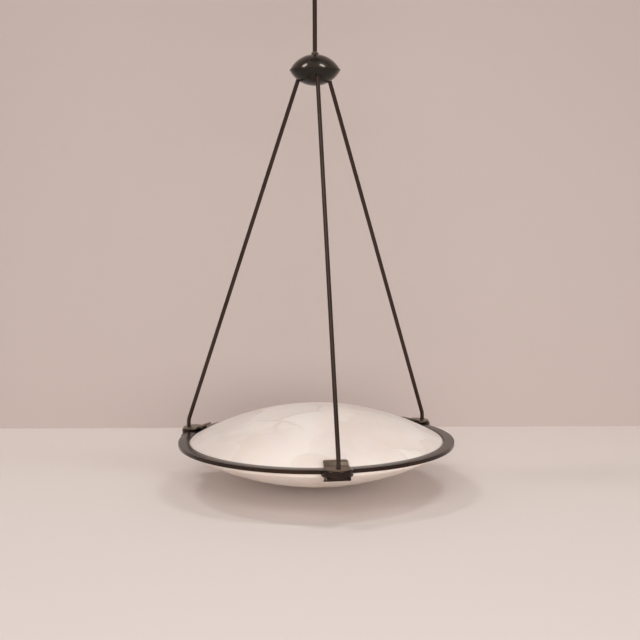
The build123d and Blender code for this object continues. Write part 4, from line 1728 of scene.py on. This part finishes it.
@dataclass
class Studio:
    """The pale floor and wall, the soft lights and the camera."""

    levels: Levels
    floor_drop: float = 97.0
    floor_size: float = 14.0
    wall_distance: float = 617.0
    wall_size: float = 6.0
    turn: float = 7.8
    camera_place: Place = (1.5, -2259.9, 476.6)
    yaw: float = 0.0029
    pitch: float = 0.1046
    roll: float = 0.0033
    focal_pixels: float = 1160.25
    picture_pixels: float = 640.0
    sensor: float = 36.0
    nearest: float = 0.05
    farthest: float = 60.0
    floor_colour: Colour = (230, 218, 211)
    wall_colour: Colour = (183, 168, 161)
    paint_roughness: float = 0.85
    paint_specular: float = 0.2
    sky_colour: Colour = (247, 248, 250)
    sky_strength: float = 0.45
    lights: tuple[SoftLight, ...] = (
        SoftLight("ceiling_panel_left", (-1.22, -0.23, 2.72), (-1.22, -0.2, 0.0), 0.6, 0.3, 12.0),
        SoftLight("ceiling_panel_right", (0.89, -0.53, 2.72), (0.89, -0.5, 0.0), 0.6, 0.3, 10.5),
        SoftLight("front_window", (0.45, -3.2, 0.6), (0.0, 0.0, 0.0), 3.6, 1.3, 24.0, 80.0, False),
        SoftLight("upper_window", (-0.7, -3.2, 2.9), (0.0, 0.0, 0.4), 2.4, 1.2, 6.5, 80.0),
    )

    def _turned(self, place: Place) -> Vector:
        """Turn a place or direction from the camera's frame into the lamp's frame."""
        return Matrix.Rotation(math.radians(-self.turn), 3, "Z") @ Vector(place)

    def _camera(self) -> None:
        """Make the camera at the photograph's viewpoint."""
        data = bpy.data.cameras.new("viewpoint")
        data.sensor_width = self.sensor
        data.lens = self.sensor * self.focal_pixels / self.picture_pixels
        data.clip_start = self.nearest
        data.clip_end = self.farthest
        camera = bpy.data.objects.new("viewpoint", data)
        bpy.context.scene.collection.objects.link(camera)
        level = math.cos(self.pitch)
        ahead = Vector((math.sin(self.yaw) * level, math.cos(self.yaw) * level, -math.sin(self.pitch)))
        right = Vector((math.cos(self.yaw), -math.sin(self.yaw), 0.0))
        down = ahead.cross(right)
        rolled_right = right * math.cos(self.roll) + down * math.sin(self.roll)
        rolled_down = down * math.cos(self.roll) - right * math.sin(self.roll)
        columns = [self._turned(rolled_right), self._turned(-rolled_down), self._turned(-ahead)]
        frame = Matrix(columns).transposed().to_4x4()
        place = self._turned(self.camera_place) * MM
        frame.translation = place + Vector((0, 0, self.levels.ring_z * MM))
        camera.matrix_world = frame
        bpy.context.scene.camera = camera

    def _paint(self, name: str, colour: Colour) -> Material:
        """Make a matt paint for the room whose back lets the view through.

        Args:
            name: The paint's name.
            colour: Its colour.

        Returns:
            The material.
        """
        material = bpy.data.materials.new(name)
        material.use_nodes = True
        tree = material.node_tree
        shader = tree.nodes["Principled BSDF"]
        shader.inputs["Base Color"].default_value = linear(colour)
        shader.inputs["Roughness"].default_value = self.paint_roughness
        shader.inputs["Specular IOR Level"].default_value = self.paint_specular
        behind = add_node(tree, "NewGeometry")
        clear = add_node(tree, "BsdfTransparent")
        mix = add_node(tree, "MixShader")
        wire(
            tree,
            (behind.outputs["Backfacing"], mix.inputs[0]),
            (shader.outputs[0], mix.inputs[1]),
            (clear.outputs[0], mix.inputs[2]),
            (mix.outputs[0], tree.nodes["Material Output"].inputs["Surface"]),
        )
        return material

    def _sheet(self, name: str, size: float, place: Place, turn: Place, colour: Colour) -> Piece:
        """Add one painted square of the room.

        Args:
            name: Its name.
            size: Its width in metres.
            place: Its centre in metres.
            turn: Its turn about x, y and z in radians.
            colour: Its paint's colour.

        Returns:
            The square.
        """
        Workbench.clear()
        bpy.ops.mesh.primitive_plane_add(size=size, location=place, rotation=turn)
        sheet = bpy.context.object
        sheet.name = name
        sheet.data.materials.append(self._paint(name + "_paint", colour))
        return sheet

    def _room(self) -> None:
        """Lay the floor and stand the wall behind the lamp."""
        ground = (self.levels.ring_z - self.floor_drop) * MM
        floor = self._sheet("floor", self.floor_size, (0, 0, ground), (0, 0, 0), self.floor_colour)
        place = self._turned((0, self.wall_distance * MM, ground + self.wall_size / 2))
        upright = (math.radians(90), 0, math.radians(-self.turn))
        wall = self._sheet("wall", self.wall_size, place, upright, self.wall_colour)

    def _light(self) -> None:
        """Hang the soft lights and set the room's own light."""
        lift = Vector((0.0, 0.0, self.levels.ring_z * MM))
        for soft in self.lights:
            data = bpy.data.lights.new(soft.name, "AREA")
            data.shape = "RECTANGLE"
            data.size = soft.width
            data.size_y = soft.height
            data.energy = soft.power
            data.spread = math.radians(soft.spread)
            lamp = bpy.data.objects.new(soft.name, data)
            lamp.visible_glossy = soft.mirrored
            bpy.context.scene.collection.objects.link(lamp)
            spot = self._turned(soft.place)
            lamp.location = spot + lift
            lamp.rotation_mode = "QUATERNION"
            lamp.rotation_quaternion = (self._turned(soft.aim) - spot).to_track_quat("-Z", "Y")
        world = bpy.data.worlds.new("room_light")
        world.use_nodes = True
        back = world.node_tree.nodes["Background"]
        back.inputs["Color"].default_value = linear(self.sky_colour)
        back.inputs["Strength"].default_value = self.sky_strength
        bpy.context.scene.world = world

    def build(self) -> None:
        """Set up the room, the lights, the camera and the plain view transform."""
        bpy.context.scene.view_settings.view_transform = "Standard"
        self._room()
        self._light()
        self._camera()


def main() -> None:
    """Build the dressed lamp in its studio."""
    logging.basicConfig(level=logging.INFO, format="%(name)s %(message)s")
    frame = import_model()
    levels = Levels()
    wardrobe = Wardrobe()
    stations = Stations(levels)
    DishPair(levels).build(wardrobe)
    Hoop(levels).build(wardrobe)
    stations.build(wardrobe)
    Hub(levels).build(wardrobe, stations)
    StemAndCanopy(levels).build(wardrobe)
    PlainPieces().build(wardrobe, frame["nodes"])
    Studio(levels).build()


if __name__ == "__main__":
    main()
